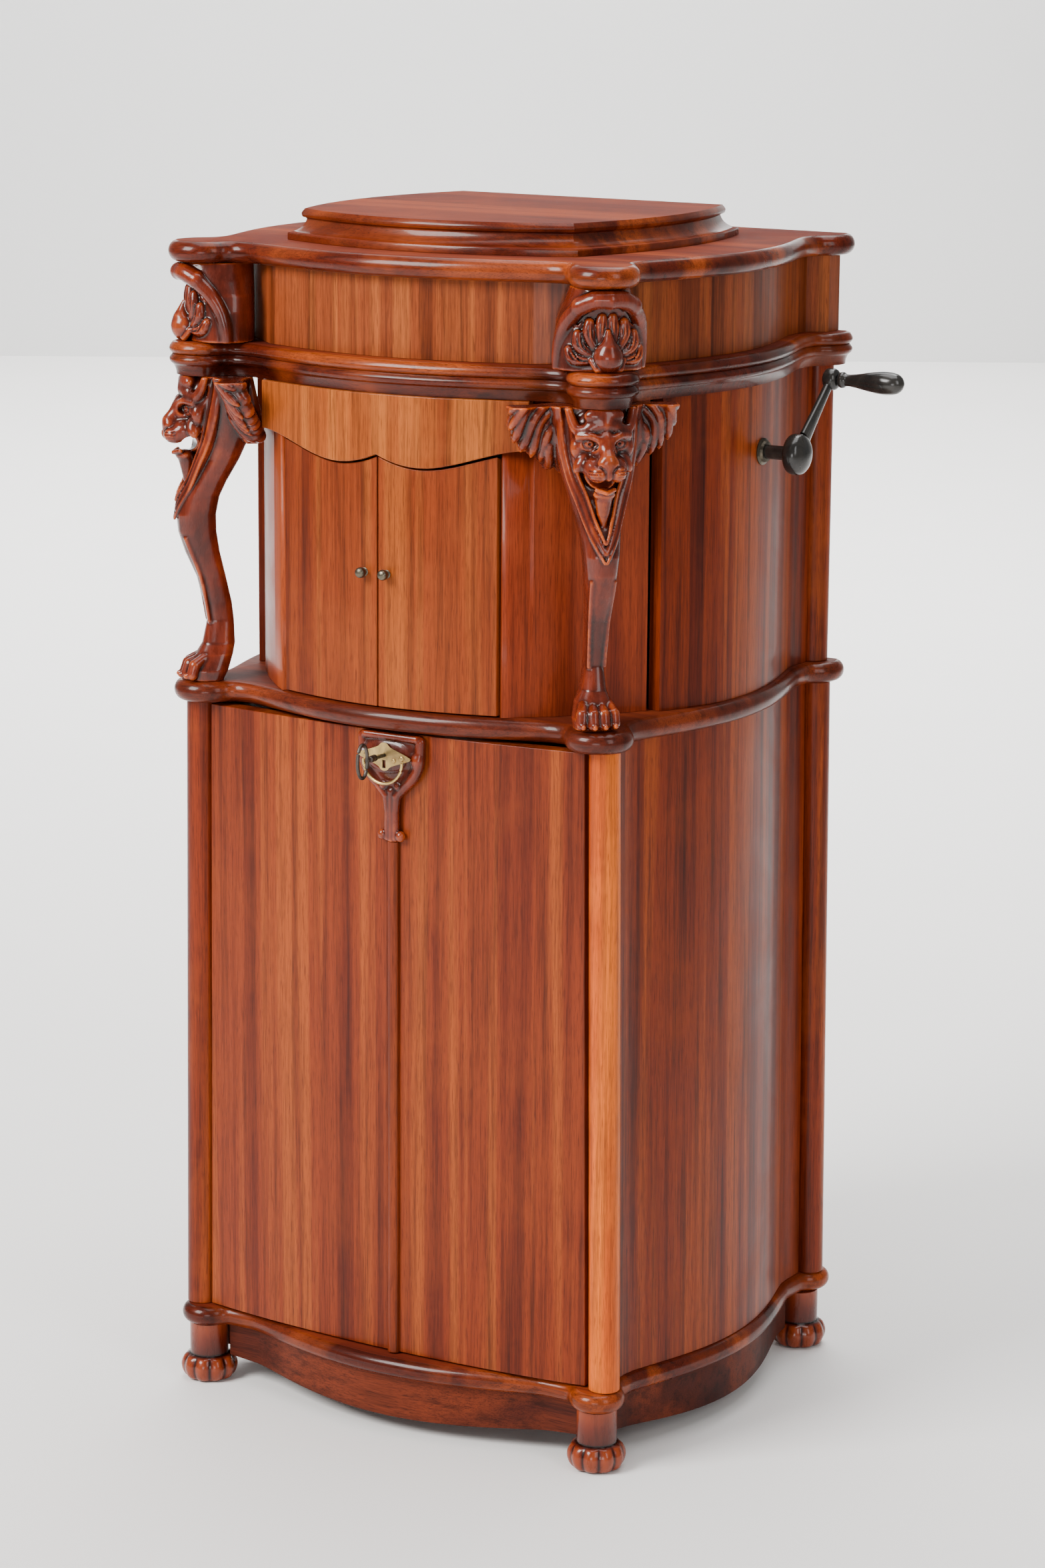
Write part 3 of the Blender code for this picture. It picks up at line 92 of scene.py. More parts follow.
PLINTH_SHIFT = 0.004
PANEL_T = 0.012
COLUMN_R = 0.0154
COLUMN_TOP_X = HALF_WIDTH + 0.0068
COLUMN_LOW_X = HALF_WIDTH_BASE + 0.008
REAR_COLUMN_X = HALF_WIDTH + 0.003
BACK_HALF = REAR_COLUMN_X - COLUMN_R - 0.0015
PANEL_INSET = 0.011
FRIEZE_INSET = 0.018
DOOR_T = 0.018
DOOR_FACE_Y = 0.2225
DOOR_BOW = 0.0165
DOOR_SPLIT_X = 0.006
STRIP_W = 0.012
STRIP_T = 0.006
LOCK_Z = SHELF_Z - 0.0258
CARTOUCHE_H = 0.108
CARTOUCHE_T = 0.011
HORN_DOOR_W = HALF_WIDTH - 0.1047
HORN_DOOR_T = 0.016
HORN_DOOR_INSET = 0.007
VALANCE_HALF = HALF_WIDTH - 0.0742
VALANCE_INSET = 0.003
VALANCE_T = 0.016
VALANCE_END_Z = SPLIT_Z - 0.0685
VALANCE_LOW_Z = SPLIT_Z - 0.09
VALANCE_CUSP_Z = SPLIT_Z - 0.0795
NICHE_T = 0.006
NICHE_BULGE = 0.005
UPPER_FRONT_Y = -0.116
UPPER_T = 0.015
KNOB_Z = SHELF_Z + 0.1542
CRANK_Y = 0.035
CRANK_Z = SPLIT_Z - 0.0883
CRANK_ARM = 0.096
CRANK_LEAN = math.radians(45.5)
CRANK_HUB_R = 0.0205
CRANK_HUB_X = SIDE_LOW + SIDE_BOW + 0.027
GRIP_LEN = 0.072
GRIP_R = 0.0115
SHAFT_R = 0.007
RUN = 0.0004

base_low, base_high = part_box("base_board")
SHIFT = Vector(((base_low[0] + base_high[0]) / 2, base_high[1] - BACK, 0))
record = frame["record"]
BODY_OF = {node: body for body, nodes in record["behaviour"]["bodies"].items() for node in nodes}


# ---------------------------------------------------------------- camera, light and floor
CAMERA_PLACE = Vector((2.1995, -3.5446, 1.5381))
CAMERA_LENS = 95.1
WALL_AWAY = 13.5      # from the camera, so that views from behind stay in front of it
FLOOR_LENGTH = 22.0
STAGE_HALF = 12.0
WALL_HEIGHT = 6.0


def build_camera():
    data = bpy.data.cameras.new("camera")
    data.lens = CAMERA_LENS
    data.sensor_width = 36
    data.sensor_fit = "AUTO"
    camera = bpy.data.objects.new("camera", data)
    bpy.context.scene.collection.objects.link(camera)
    heading = Vector((-0.525, 0.851, 0)).normalized()
    pitch = math.radians(12.353)
    roll = math.radians(0.387)
    ahead = heading * math.cos(pitch) - Vector((0, 0, 1)) * math.sin(pitch)
    right = ahead.cross(Vector((0, 0, 1))).normalized()
    up = right.cross(ahead)
    tilted_right = right * math.cos(roll) + up * math.sin(roll)
    tilted_up = up * math.cos(roll) - right * math.sin(roll)
    turn = Matrix((tilted_right, tilted_up, -ahead)).transposed().to_4x4()
    turn.translation = CAMERA_PLACE + SHIFT
    camera.matrix_world = turn
    bpy.context.scene.camera = camera
    return heading


def area_light(name, place, target, size, power, colour=(1, 1, 1), spread=180):
    data = bpy.data.lights.new(name, "AREA")
    data.shape = "RECTANGLE"
    data.size, data.size_y = size
    data.energy = power
    data.spread = math.radians(spread)
    data.color = colour
    light = bpy.data.objects.new(name, data)
    bpy.context.scene.collection.objects.link(light)
    light.location = place
    light.rotation_euler = (Vector(target) - Vector(place)).to_track_quat("-Z", "Y").to_euler()


def plane(name, corners, finish):
    mesh = bpy.data.meshes.new(name)
    mesh.from_pydata([tuple(c) for c in corners], [], [(0, 1, 2, 3)])
    mesh.materials.append(finish)
    obj = bpy.data.objects.new(name, mesh)
    bpy.context.scene.collection.objects.link(obj)


def build_stage(heading):
    paper = plain_finish("paper", (0.9, 0.885, 0.87), 0.85, 0.03)
    paint = plain_finish("backdrop", (0.92, 0.92, 0.915), 0.9, 0.02)
    across = Vector((heading.y, -heading.x, 0)) * STAGE_HALF
    wall = Vector((CAMERA_PLACE.x, CAMERA_PLACE.y, 0)) + SHIFT + heading * WALL_AWAY
    near = wall - heading * FLOOR_LENGTH
    top = Vector((0, 0, WALL_HEIGHT))
    plane("floor", (near - across, near + across, wall + across, wall - across), paper)
    plane("backdrop", (wall - across, wall + across, wall + across + top, wall - across + top), paint)
    area_light("key", (-1.6, -3.4, 3.2), (0, 0, 0.6), (2.0, 2.0), 330, (1, 0.985, 0.96))
    area_light("side", (3.6, -1.4, 2.3), (0.1, 0, 0.7), (1.2, 2.4), 40)
    area_light("overhead", (0.2, 0.2, 3.9), (0, 0, 0), (2.6, 2.6), 95)
    area_light("backdrop_wash", tuple(wall - heading * 1.1 + Vector((0, 0, 4.2))),
               tuple(wall + Vector((0, 0, 1.2))), (6.0, 1.2), 300)
    behind = heading * 4.6
    area_light("floor_wash", tuple(behind + Vector((0, 0, 4.2))), tuple(behind), (6.0, 5.0), 330, spread=110)
    area_light("low_fill", (1.6, -3.8, 0.9), (0, 0, 0.6), (1.6, 1.0), 30)
    world = bpy.data.worlds.new("studio")
    bpy.context.scene.world = world
    world.use_nodes = True
    world.node_tree.nodes["Background"].inputs[0].default_value = (1.0, 0.985, 0.96, 1)
    world.node_tree.nodes["Background"].inputs[1].default_value = 0.3


# ---------------------------------------------------------------- finishes
class Nodes:
    """A small helper round one material's node tree."""

    def __init__(self, name):
        self.material = bpy.data.materials.new(name)
        self.material.use_nodes = True
        self.tree = self.material.node_tree
        self.shader = self.tree.nodes["Principled BSDF"]
        self.place = self.add("ShaderNodeTexCoord").outputs["Object"]

    def add(self, kind, **settings):
        node = self.tree.nodes.new(kind)
        for key, value in settings.items():
            setattr(node, key, value)
        return node

    def link(self, source, target):
        self.tree.links.new(source, target)

    def noise(self, stretch, detail=4.0, rough=0.55, warp=0.0, offset=(0, 0, 0)):
        mapping = self.add("ShaderNodeMapping")
        mapping.inputs["Scale"].default_value = stretch
        mapping.inputs["Location"].default_value = offset
        self.link(self.place, mapping.inputs["Vector"])
        node = self.add("ShaderNodeTexNoise")
        node.inputs["Scale"].default_value = 1.0
        node.inputs["Detail"].default_value = detail
        node.inputs["Roughness"].default_value = rough
        node.inputs["Distortion"].default_value = warp
        self.link(mapping.outputs["Vector"], node.inputs["Vector"])
        return node.outputs["Fac"]

    def ramp(self, value, stops):
        node = self.add("ShaderNodeValToRGB")
        ramp = node.color_ramp
        while len(ramp.elements) < len(stops):
            ramp.elements.new(0.5)
        for element, (place, colour) in zip(ramp.elements, stops):
            element.position = place
            colour = (colour, colour, colour) if isinstance(colour, float) else colour
            element.color = (*colour, 1)
        self.link(value, node.inputs["Fac"])
        return node.outputs["Color"]

    def mix(self, factor, first, second, blend="MIX"):
        node = self.add("ShaderNodeMix", data_type="RGBA", blend_type=blend)
        for value, name in ((factor, "Factor"), (first, "A"), (second, "B")):
            socket = node.inputs[name]
            if isinstance(value, (int, float)):
                socket.default_value = value
            elif isinstance(value, tuple):
                socket.default_value = (*value, 1)
            else:
                self.link(value, socket)
        return node.outputs["Result"]

    def maths(self, operation, first, second):
        node = self.add("ShaderNodeMath", operation=operation)
        for value, socket in ((first, node.inputs[0]), (second, node.inputs[1])):
            if isinstance(value, (int, float)):
                socket.default_value = value
            else:
                self.link(value, socket)
        return node.outputs[0]

    def bump(self, height, distance, strength=1.0, below=None):
        node = self.add("ShaderNodeBump")
        node.inputs["Distance"].default_value = distance
        node.inputs["Strength"].default_value = strength
        self.link(height, node.inputs["Height"])
        if below is not None:
            self.link(below, node.inputs["Normal"])
        return node.outputs["Normal"]

    def end(self, colour, rough=None, normal=None, **fixed):
        self.link(colour, self.shader.inputs["Base Color"])
        if rough is not None:
            self.link(rough, self.shader.inputs["Roughness"])
        if normal is not None:
            self.link(normal, self.shader.inputs["Normal"])
        for key, value in fixed.items():
            self.shader.inputs[key.replace("_", " ")].default_value = value
        return self.material


def along(axis, across, length):
    """Noise scale stretched along one axis: 'x', 'y' or 'z'."""
    return tuple(length if axis == letter else across for letter in "xyz")


def shade(colour, share):
    return tuple(c * share for c in colour)


def wood(name, dark, mid, light, axis="z", ribbon=16.0, gloss=0.36, coat=0.1, wear=0.3, contrast=1.0,
         seed=0.0, dull_and_sheen_top=0.0):
    """Polished mahogany: broad ribbons, fine streaks and pores along the grain, worn orange patches.

    The top setting takes the polish off what faces straight up, a real dullness, and lifts the colour of
    those faces towards a pale tone, a painted sheen.
    """
    n = Nodes(name)
    broad = n.noise(along(axis, ribbon, 0.55), 3.0, 0.5, 0.25, (seed, seed * 0.7, 0))
    streak = n.noise(along(axis, 130.0, 2.6), 5.0, 0.65, 0.1, (0, seed, seed))
    fine = n.noise(along(axis, 620.0, 14.0), 3.0, 0.7)
    pores = n.noise(along(axis, 1500.0, 55.0), 2.0, 0.5)
    patch = n.noise((7.0, 7.0, 7.0), 4.0, 0.6, 0.6, (seed, 2.0, seed))
    colour = n.ramp(broad, ((0.38, dark), (0.47, mid), (0.53, mid), (0.63, light)))
    streaks = n.ramp(streak, ((0.34, 1 - 0.55 * contrast), (0.5, 0.92), (0.62, 1.0)))
    colour = n.mix(1.0, colour, streaks, "MULTIPLY")
    colour = n.mix(0.7, colour, n.ramp(fine, ((0.38, 0.55), (0.55, 1.0))), "MULTIPLY")
    patches = n.ramp(patch, ((0.46, 0.0), (0.8, 1.0)))
    colour = n.mix(n.maths("MULTIPLY", patches, wear), colour, light)
    pore = n.ramp(pores, ((0.36, 1.0), (0.44, 0.0)))
    colour = n.mix(n.maths("MULTIPLY", pore, 0.5), colour, shade(dark, 0.35))
    rough = n.ramp(patch, ((0.3, gloss * 0.85), (0.7, gloss * 1.35)))
    if dull_and_sheen_top:
        split = n.add("ShaderNodeSeparateXYZ")
        n.link(n.add("ShaderNodeNewGeometry").outputs["Normal"], split.inputs[0])
        flat = n.maths("GREATER_THAN", split.outputs["Z"], 0.97)
        rough = n.mix(n.maths("MULTIPLY", flat, dull_and_sheen_top), rough, (0.9, 0.9, 0.9))
        # painted sheen: faces that point straight up are lightened towards a pale tone
        colour = n.mix(n.maths("MULTIPLY", flat, dull_and_sheen_top * 0.5), colour, shade(mid, 1.6))
        n.link(n.maths("MULTIPLY", n.maths("SUBTRACT", 1.0, flat), coat), n.shader.inputs["Coat Weight"])
    grooves = n.bump(pores, 0.00012, 0.5)
    normal = n.bump(n.noise((45.0, 45.0, 45.0), 2.0), 0.0012, 0.1, grooves)
    return n.end(colour, rough, normal, Coat_Weight=coat, Coat_Roughness=0.1, Specular_IOR_Level=0.14)


def carved_wood(name, dark, mid, light, gloss=0.26, coat=0.4, wear=1.0):
    """Stained carving coloured from the mesh's convexity attribute: near black in the hollows, a painted
    shade, and orange on the ridges, partly wear and partly a painted highlight.
    """
    n = Nodes(name)
    shade_highlight_and_wear = n.add("ShaderNodeAttribute", attribute_name="shade_highlight_and_wear").outputs["Fac"]
    patch = n.noise((26.0, 26.0, 16.0), 4.0, 0.6, 0.4)
    streak = n.noise((190.0, 190.0, 30.0), 4.0, 0.6)
    spread = n.maths("ADD", shade_highlight_and_wear, n.maths("MULTIPLY", n.maths("SUBTRACT", patch, 0.5), 0.75 * wear))
    # painted shade in the hollows, near black; orange on the ridges, partly wear and partly a painted
    # highlight
    colour = n.ramp(spread, ((0.12, shade(dark, 0.12)), (0.46, dark), (0.68, mid), (1.0, light)))
    colour = n.mix(0.7, colour, n.ramp(streak, ((0.3, 0.68), (0.6, 1.12))), "MULTIPLY")
    rough = n.ramp(streak, ((0.3, gloss * 0.8), (0.7, gloss * 1.5)))
    normal = n.bump(streak, 0.00035, 0.35)
    return n.end(colour, rough, normal, Coat_Weight=coat, Coat_Roughness=0.08, Specular_IOR_Level=0.22)


def metal(name, colour, tarnish, gloss, metallic=1.0, scratch=0.4):
    """Metal or lacquer with a mottled tarnish and fine brushed marks."""
    n = Nodes(name)
    cloud = n.noise((55.0, 55.0, 55.0), 5.0, 0.62, 0.5)
    marks = n.noise((900.0, 900.0, 60.0), 2.0, 0.5)
    tone = n.mix(n.ramp(cloud, ((0.36, 0.0), (0.66, 1.0))), colour, tarnish)
    rough = n.ramp(cloud, ((0.3, gloss * 0.75), (0.7, gloss * 1.6)))
    normal = n.bump(marks, 0.00008, scratch)
    return n.end(tone, rough, normal, Metallic=metallic)


def plain_finish(name, colour, roughness, vary):
    n = Nodes(name)
    cloud = n.noise((1.4, 1.4, 1.4), 3.0)
    tone = n.mix(cloud, shade(colour, 1 - vary), tuple(min(1.0, c * (1 + vary)) for c in colour))
    return n.end(tone, Roughness=roughness)


def felt_top(name):
    """Nickelled platter with a dark green felt mat on its flat top."""
    n = Nodes(name)
    cloud = n.noise((60.0, 60.0, 60.0), 4.0)
    fuzz = n.noise((1400.0, 1400.0, 1400.0), 2.0)
    geometry = n.add("ShaderNodeNewGeometry")
    split = n.add("ShaderNodeSeparateXYZ")
    n.link(geometry.outputs["Normal"], split.inputs[0])
    top = n.maths("GREATER_THAN", split.outputs["Z"], 0.9)
    nickel = n.mix(cloud, (0.56, 0.54, 0.5), (0.7, 0.68, 0.64))
    felt = n.mix(fuzz, (0.012, 0.045, 0.022), (0.03, 0.1, 0.05))
    colour = n.mix(top, nickel, felt)
    n.link(n.maths("SUBTRACT", 1.0, top), n.shader.inputs["Metallic"])
    rough = n.maths("ADD", n.maths("MULTIPLY", top, 0.65), 0.25)
    return n.end(colour, rough, n.bump(fuzz, 0.0002, 0.4))


RED_DARK = (0.06, 0.0065, 0.002)
RED_MID = (0.15, 0.017, 0.004)
ORANGE = (0.43, 0.076, 0.01)
FINISH = {
    "door": wood("door_veneer", (0.14, 0.019, 0.0034), (0.235, 0.0375, 0.0058), (0.33, 0.072, 0.011),
                 ribbon=34.0, seed=3.1),
    "low_door": wood("low_door_veneer", (0.12, 0.0145, 0.0032), (0.205, 0.029, 0.0056),
                     (0.31, 0.06, 0.01), ribbon=40.0, seed=8.2),
    "valance": wood("valance_veneer", (0.21, 0.038, 0.006), (0.31, 0.066, 0.01),
                    (0.42, 0.108, 0.018), ribbon=34.0, seed=1.3, wear=0.4),
    "side": wood("side_veneer", (0.105, 0.011, 0.0022), (0.19, 0.024, 0.004), (0.32, 0.056, 0.008),
                 ribbon=40.0, seed=5.7, contrast=1.1),
    "niche": wood("niche_veneer", (0.165, 0.02, 0.0054), (0.25, 0.034, 0.0075), (0.33, 0.054, 0.011),
                  ribbon=14.0, seed=4.4, contrast=0.6),
    "frieze": wood("frieze_veneer", (0.15, 0.028, 0.007), (0.25, 0.05, 0.012), (0.35, 0.085, 0.019),
                   ribbon=40.0, seed=2.2),
    "column": wood("column_wood", (0.34, 0.042, 0.0024), (0.58, 0.088, 0.004), (0.78, 0.16, 0.01),
                   ribbon=24.0, seed=6.6, wear=0.6),
    "rear_column": wood("rear_column_wood", (0.11, 0.011, 0.002), (0.2, 0.024, 0.0034),
                        (0.38, 0.07, 0.008), ribbon=24.0, seed=2.6, wear=0.5),
    "shelf": wood("shelf_wood", (0.045, 0.006, 0.0024), (0.085, 0.0115, 0.0042), (0.2, 0.032, 0.0075),
                  axis="x", ribbon=20.0, gloss=0.27, coat=0.22, seed=7.5, wear=0.3, dull_and_sheen_top=0.45),
    "moulding": wood("moulding_wood", (0.04, 0.0042, 0.0014), (0.095, 0.0105, 0.0026), (0.32, 0.054, 0.007),
                     axis="x", ribbon=12.0, gloss=0.27, coat=0.22, seed=9.1, wear=0.7, dull_and_sheen_top=0.75),
    "apron": wood("apron_wood", (0.04, 0.006, 0.0028), (0.07, 0.011, 0.0046), (0.15, 0.025, 0.0075),
                  axis="x", ribbon=14.0, gloss=0.5, coat=0.02, seed=0.4, wear=0.25),
    "plain": wood("plain_wood", (0.13, 0.042, 0.013), (0.21, 0.078, 0.026), (0.3, 0.12, 0.042),
                  ribbon=9.0, gloss=0.55, coat=0.0, seed=1.9),
    "board": wood("board_veneer", (0.13, 0.019, 0.0032), (0.24, 0.042, 0.0065), (0.36, 0.08, 0.011),
                  axis="x", ribbon=14.0, seed=4.9),
    "foot": carved_wood("foot_wood", RED_DARK, (0.11, 0.013, 0.0034), (0.23, 0.034, 0.006), wear=0.8),
    "carving": carved_wood("carved_wood", RED_DARK, RED_MID, ORANGE, gloss=0.24, coat=0.4, wear=1.3),
    "brass": metal("aged_brass", (0.62, 0.43, 0.17), (0.3, 0.2, 0.09), 0.3),
    "nickel": metal("nickel_plate", (0.66, 0.64, 0.6), (0.42, 0.38, 0.32), 0.2),
    "black": metal("black_lacquer", (0.012, 0.012, 0.012), (0.03, 0.026, 0.022), 0.16, 0.0, 0.15),
    "iron": metal("dark_iron", (0.13, 0.11, 0.095), (0.05, 0.045, 0.04), 0.42),
    "bronze": metal("dark_bronze", (0.15, 0.125, 0.09), (0.05, 0.045, 0.035), 0.34),
    "felt_top": felt_top("felted_platter"),
}


# ---------------------------------------------------------------- mesh helpers
def convexity(mesh, spread):
    """How far each vertex stands proud of its neighbours, averaged over a few rings of them."""
    count = len(mesh.vertices)
    place = np.empty(count * 3)
    mesh.vertices.foreach_get("co", place)
    place = place.reshape(-1, 3)
    normal = np.empty(count * 3)
    mesh.vertex_normals.foreach_get("vector", normal)
    normal = normal.reshape(-1, 3)
    edges = np.empty(len(mesh.edges) * 2, dtype=np.int64)
    mesh.edges.foreach_get("vertices", edges)
    first, second = edges.reshape(-1, 2).T
    degree = np.maximum(np.bincount(np.concatenate((first, second)), minlength=count), 1)[:, None]
    smooth = place.copy()
    for _ in range(spread):
        total = np.zeros_like(smooth)
        for axis in range(3):
            total[:, axis] = (np.bincount(first, smooth[second, axis], count)
                              + np.bincount(second, smooth[first, axis], count))
        smooth = 0.5 * smooth + 0.5 * total / degree
    return ((place - smooth) * normal).sum(1)


def add_shade_highlight_and_wear(mesh, fine, broad):
    """Stores the convexity attribute: 0 in deep hollows, 0.5 on flats, 1 on sharp ridges; the carving's
    colour paints shade into the hollows and a highlight, with wear, onto the ridges from it.
    """
    near = convexity(mesh, 3) / fine
    far = convexity(mesh, 24) / broad
    value = np.clip(0.5 + 0.5 * np.tanh(near) + 0.35 * np.tanh(far), 0.0, 1.0)
    attribute = mesh.attributes.new("shade_highlight_and_wear", "FLOAT", "POINT")
    attribute.data.foreach_set("value", value.astype(np.float32))


def make(name, mesh_data, finish, angle=32):
    """An object from a bmesh in cabinet axes, shaded smooth with its sharp edges kept."""
    bmesh.ops.recalc_face_normals(mesh_data, faces=mesh_data.faces)
    bmesh.ops.translate(mesh_data, verts=mesh_data.verts, vec=SHIFT)
    mesh = bpy.data.meshes.new(name)
    mesh_data.to_mesh(mesh)
    mesh_data.free()
    mesh.materials.append(FINISH[finish])
    mesh.shade_smooth()
    mesh.set_sharp_from_angle(angle=math.radians(angle))
    obj = bpy.data.objects.new(name, mesh)
    bpy.context.scene.collection.objects.link(obj)
    return obj


def stand_for(obj, node, *more):
    """The piece rides on the node's body and stands for it."""
    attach(obj, BODY_OF[node])
    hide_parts(node, *more)
    return obj


def bake_modifiers(obj):
    graph = bpy.context.evaluated_depsgraph_get()
    mesh = bpy.data.meshes.new_from_object(obj.evaluated_get(graph))
    obj.modifiers.clear()
    obj.data = mesh


def carve_away(obj, mesh_data):
    """Cuts a closed bmesh out of an object at once."""
    cutter = make("cutter", mesh_data, "plain", 60)
    modifier = obj.modifiers.new("cut", "BOOLEAN")
    modifier.operation = "DIFFERENCE"
    modifier.solver = "EXACT"
    modifier.object = cutter
    bpy.context.view_layer.update()
    bake_modifiers(obj)
    bpy.data.objects.remove(cutter)


def soften(obj, width=0.001, segments=2):
    """Rounds the sharp edges so they catch the light."""
    obj.data.shade_smooth()
    modifier = obj.modifiers.new("edges", "BEVEL")
    modifier.width = width
    modifier.segments = segments
    modifier.limit_method = "ANGLE"
    modifier.angle_limit = math.radians(38)
    modifier.harden_normals = True
    return obj


def add_loft(mesh_data, rings, closed=False):
    """Skins rings of points; closed joins the last ring to the first in place of end caps."""
    loops = [[mesh_data.verts.new(point) for point in ring] for ring in rings]
    pairs = list(zip(loops, loops[1:]))
    if closed:
        pairs.append((loops[-1], loops[0]))
    for low, high in pairs:
        for i in range(len(low)):
            j = (i + 1) % len(low)
            mesh_data.faces.new((low[i], low[j], high[j], high[i]))
    if not closed:
        mesh_data.faces.new(loops[0][::-1])
        mesh_data.faces.new(loops[-1])


def lofted(*parts):
    mesh_data = bmesh.new()
    for rings in parts:
        add_loft(mesh_data, rings)
    return mesh_data


def prism(points, low, high):
    return [[Vector((x, y, z)) for x, y in points] for z in (low, high)]


def turned_rings(profile, start, axis, steps, lobes=0, depth=0.0):
    """Rings of a turned shape; lobes give it a melon's ribs."""
    start = Vector(start)
    axis = Vector(axis).normalized()
    side = Vector((0, 0, 1)) if abs(axis.z) < 0.9 else Vector((1, 0, 0))
    first = side.cross(axis).normalized()
    second = axis.cross(first)
    rings = []
    for radius, height, *rib in profile:
        ring = []
        for i in range(steps):
            turn = 2 * math.pi * i / steps
            cut = depth * (rib[0] if rib else 1.0) * (1 - abs(math.sin(lobes * turn / 2))) if lobes else 0.0
            out = math.cos(turn) * first + math.sin(turn) * second
            ring.append(start + axis * height + radius * (1 - cut) * out)
        rings.append(ring)
    return rings


def smooth_profile(points, steps=5):
    """More points along a turned profile, on a Catmull-Rom curve."""
    made = []
    for i in range(len(points) - 1):
        p0 = np.array(points[max(i - 1, 0)])
        p1 = np.array(points[i])
        p2 = np.array(points[i + 1])
        p3 = np.array(points[min(i + 2, len(points) - 1)])
        for k in range(steps):
            t = k / steps
            point = 0.5 * (2 * p1 + (p2 - p0) * t + (2 * p0 - 5 * p1 + 4 * p2 - p3) * t ** 2
                           + (3 * p1 - p0 - 3 * p2 + p3) * t ** 3)
            made.append(tuple(point.tolist()))
    return made + [tuple(points[-1])]


def tube(points, radius, steps=12, closed=False):
    """Rings of a round bar along points."""
    points = [Vector(p) for p in points]
    count = len(points)
    rings = []
    up = Vector((0, 0, 1))
    for i, point in enumerate(points):
        before = points[i - 1] if i or closed else point
        after = points[(i + 1) % count] if i < count - 1 or closed else point
        ahead = (after - before).normalized()
        side = ahead.cross(up if abs(ahead.dot(up)) < 0.95 else Vector((0, 1, 0))).normalized()
        rise = side.cross(ahead)
        rings.append([point + radius * (math.cos(a) * side + math.sin(a) * rise)
                      for a in (2 * math.pi * k / steps for k in range(steps))])
    return rings


# ---------------------------------------------------------------- plan outlines
def bow(share):
    return (1 - min(1.0, abs(share)) ** 2) ** 1.25


def front_y(x, grow=0.0):
    return -(FRONT_LOW + grow + FRONT_BOW * bow(x / FRONT_SPAN))


def side_x(y, grow=0.0):
    return SIDE_LOW + grow + SIDE_BOW * bow(y / SIDE_SPAN)


def slope_of(line, at, grow=0.0):
    return (line(at + 1e-4, grow) - line(at - 1e-4, grow)) / 2e-4


def lobe_arcs(half_width, lobe_r, grow):
    lobe = Vector((half_width, -HALF_DEPTH))
    reach = lobe_r + VALLEY_R
    rise = FRONT_LOW + grow + VALLEY_R - HALF_DEPTH
    front_fillet = lobe + Vector((-math.sqrt(reach ** 2 - rise ** 2), -rise))
    out = SIDE_LOW + grow + VALLEY_R - half_width
    side_fillet = lobe + Vector((out, math.sqrt(reach ** 2 - out ** 2)))
    to_front = front_fillet - lobe
    to_side = side_fillet - lobe
    from_front = math.atan2(-to_front.y, -to_front.x)
    from_side = math.atan2(-to_side.y, -to_side.x) % (2 * math.pi)
    return (
        (front_fillet, -VALLEY_R, math.pi / 2, from_front),
        (lobe, lobe_r, math.atan2(to_front.y, to_front.x), math.atan2(to_side.y, to_side.x)),
        (side_fillet, -VALLEY_R, from_side, math.pi),
    )


def outline(half_width, lobe_r, grow, inset=0.0, notch=False):
    """Closed plan of a moulded board, anticlockwise from the middle of the front, moved in by inset."""
    fine = 4
    right = []
    for i in range(7 * fine + 1):
        x = FRONT_SPAN * i / (7 * fine)
        slope = slope_of(front_y, x, grow)
        normal = Vector((slope, -1)).normalized()
        right.append(Vector((x, front_y(x, grow))) - inset * normal)
    arcs = lobe_arcs(half_width, lobe_r, grow)
    for (centre, radius, first, last), steps in zip(arcs, (2, 9, 2)):
        for i in range(1, steps * fine + 1):
            turn = first + (last - first) * i / (steps * fine)
            sign = 1 if radius > 0 else -1
            right.append(centre + Vector((math.cos(turn), math.sin(turn))) * (abs(radius) - sign * inset))
    for i in range(-4 * fine, 4 * fine + 1):
        y = SIDE_SPAN * i / (4 * fine)
        slope = slope_of(side_x, y, grow)
        normal = Vector((1, -slope)).normalized()
        right.append(Vector((side_x(y, grow), y)) - inset * normal)
    centre, radius, first, last = arcs[2]
    for i in range(1, 2 * fine + 1):
        turn = -(last + (first - last) * i / (2 * fine))
        rear = Vector((centre.x, REAR_LOBE_Y - HALF_DEPTH - centre.y))
        right.append(rear + Vector((math.cos(turn), math.sin(turn))) * (VALLEY_R + inset))
    rear_r = lobe_r - inset
    start = -arcs[1][3]
    end = math.asin((BACK - REAR_LOBE_Y) / rear_r)
    for i in range(1, 4 * fine + 1):
        turn = start + (end - start) * i / (4 * fine)
        right.append(Vector((half_width + rear_r * math.cos(turn), REAR_LOBE_Y + rear_r * math.sin(turn))))
    if notch:
        right += [Vector((BACK_HALF + 0.0005, BACK)), Vector((BACK_HALF + 0.0005, BACK - 0.0085))]
    left = [Vector((-p.x, p.y)) for p in reversed(right[1:])]
    return [(p.x, p.y) for p in right + left]


def bullnose(low, high):
    """A board's half-round edge, from its underside to its top."""
    steps = 12
    depth = 0.0095
    half = (high - low) / 2
    profile = []
    for i in range(steps + 1):
        turn = math.pi * i / steps
        profile.append((depth * (1 - math.sin(turn)), low + half * (1 - math.cos(turn))))
    return profile


def moulded(node, half_width, lobe_r, grow, profile, finish, notch=False, hole=None):
    rings = [[Vector((x, y, z)) for x, y in outline(half_width, lobe_r, grow, inset, notch)]
             for inset, z in profile]
    obj = make(node + "_look", lofted(rings), finish, 50)
    if hole:
        carve_away(obj, lofted(prism(hole, profile[0][1] - 0.01, profile[-1][1] + 0.01)))
        obj.data.set_sharp_from_angle(angle=math.radians(50))
    return stand_for(obj, node)


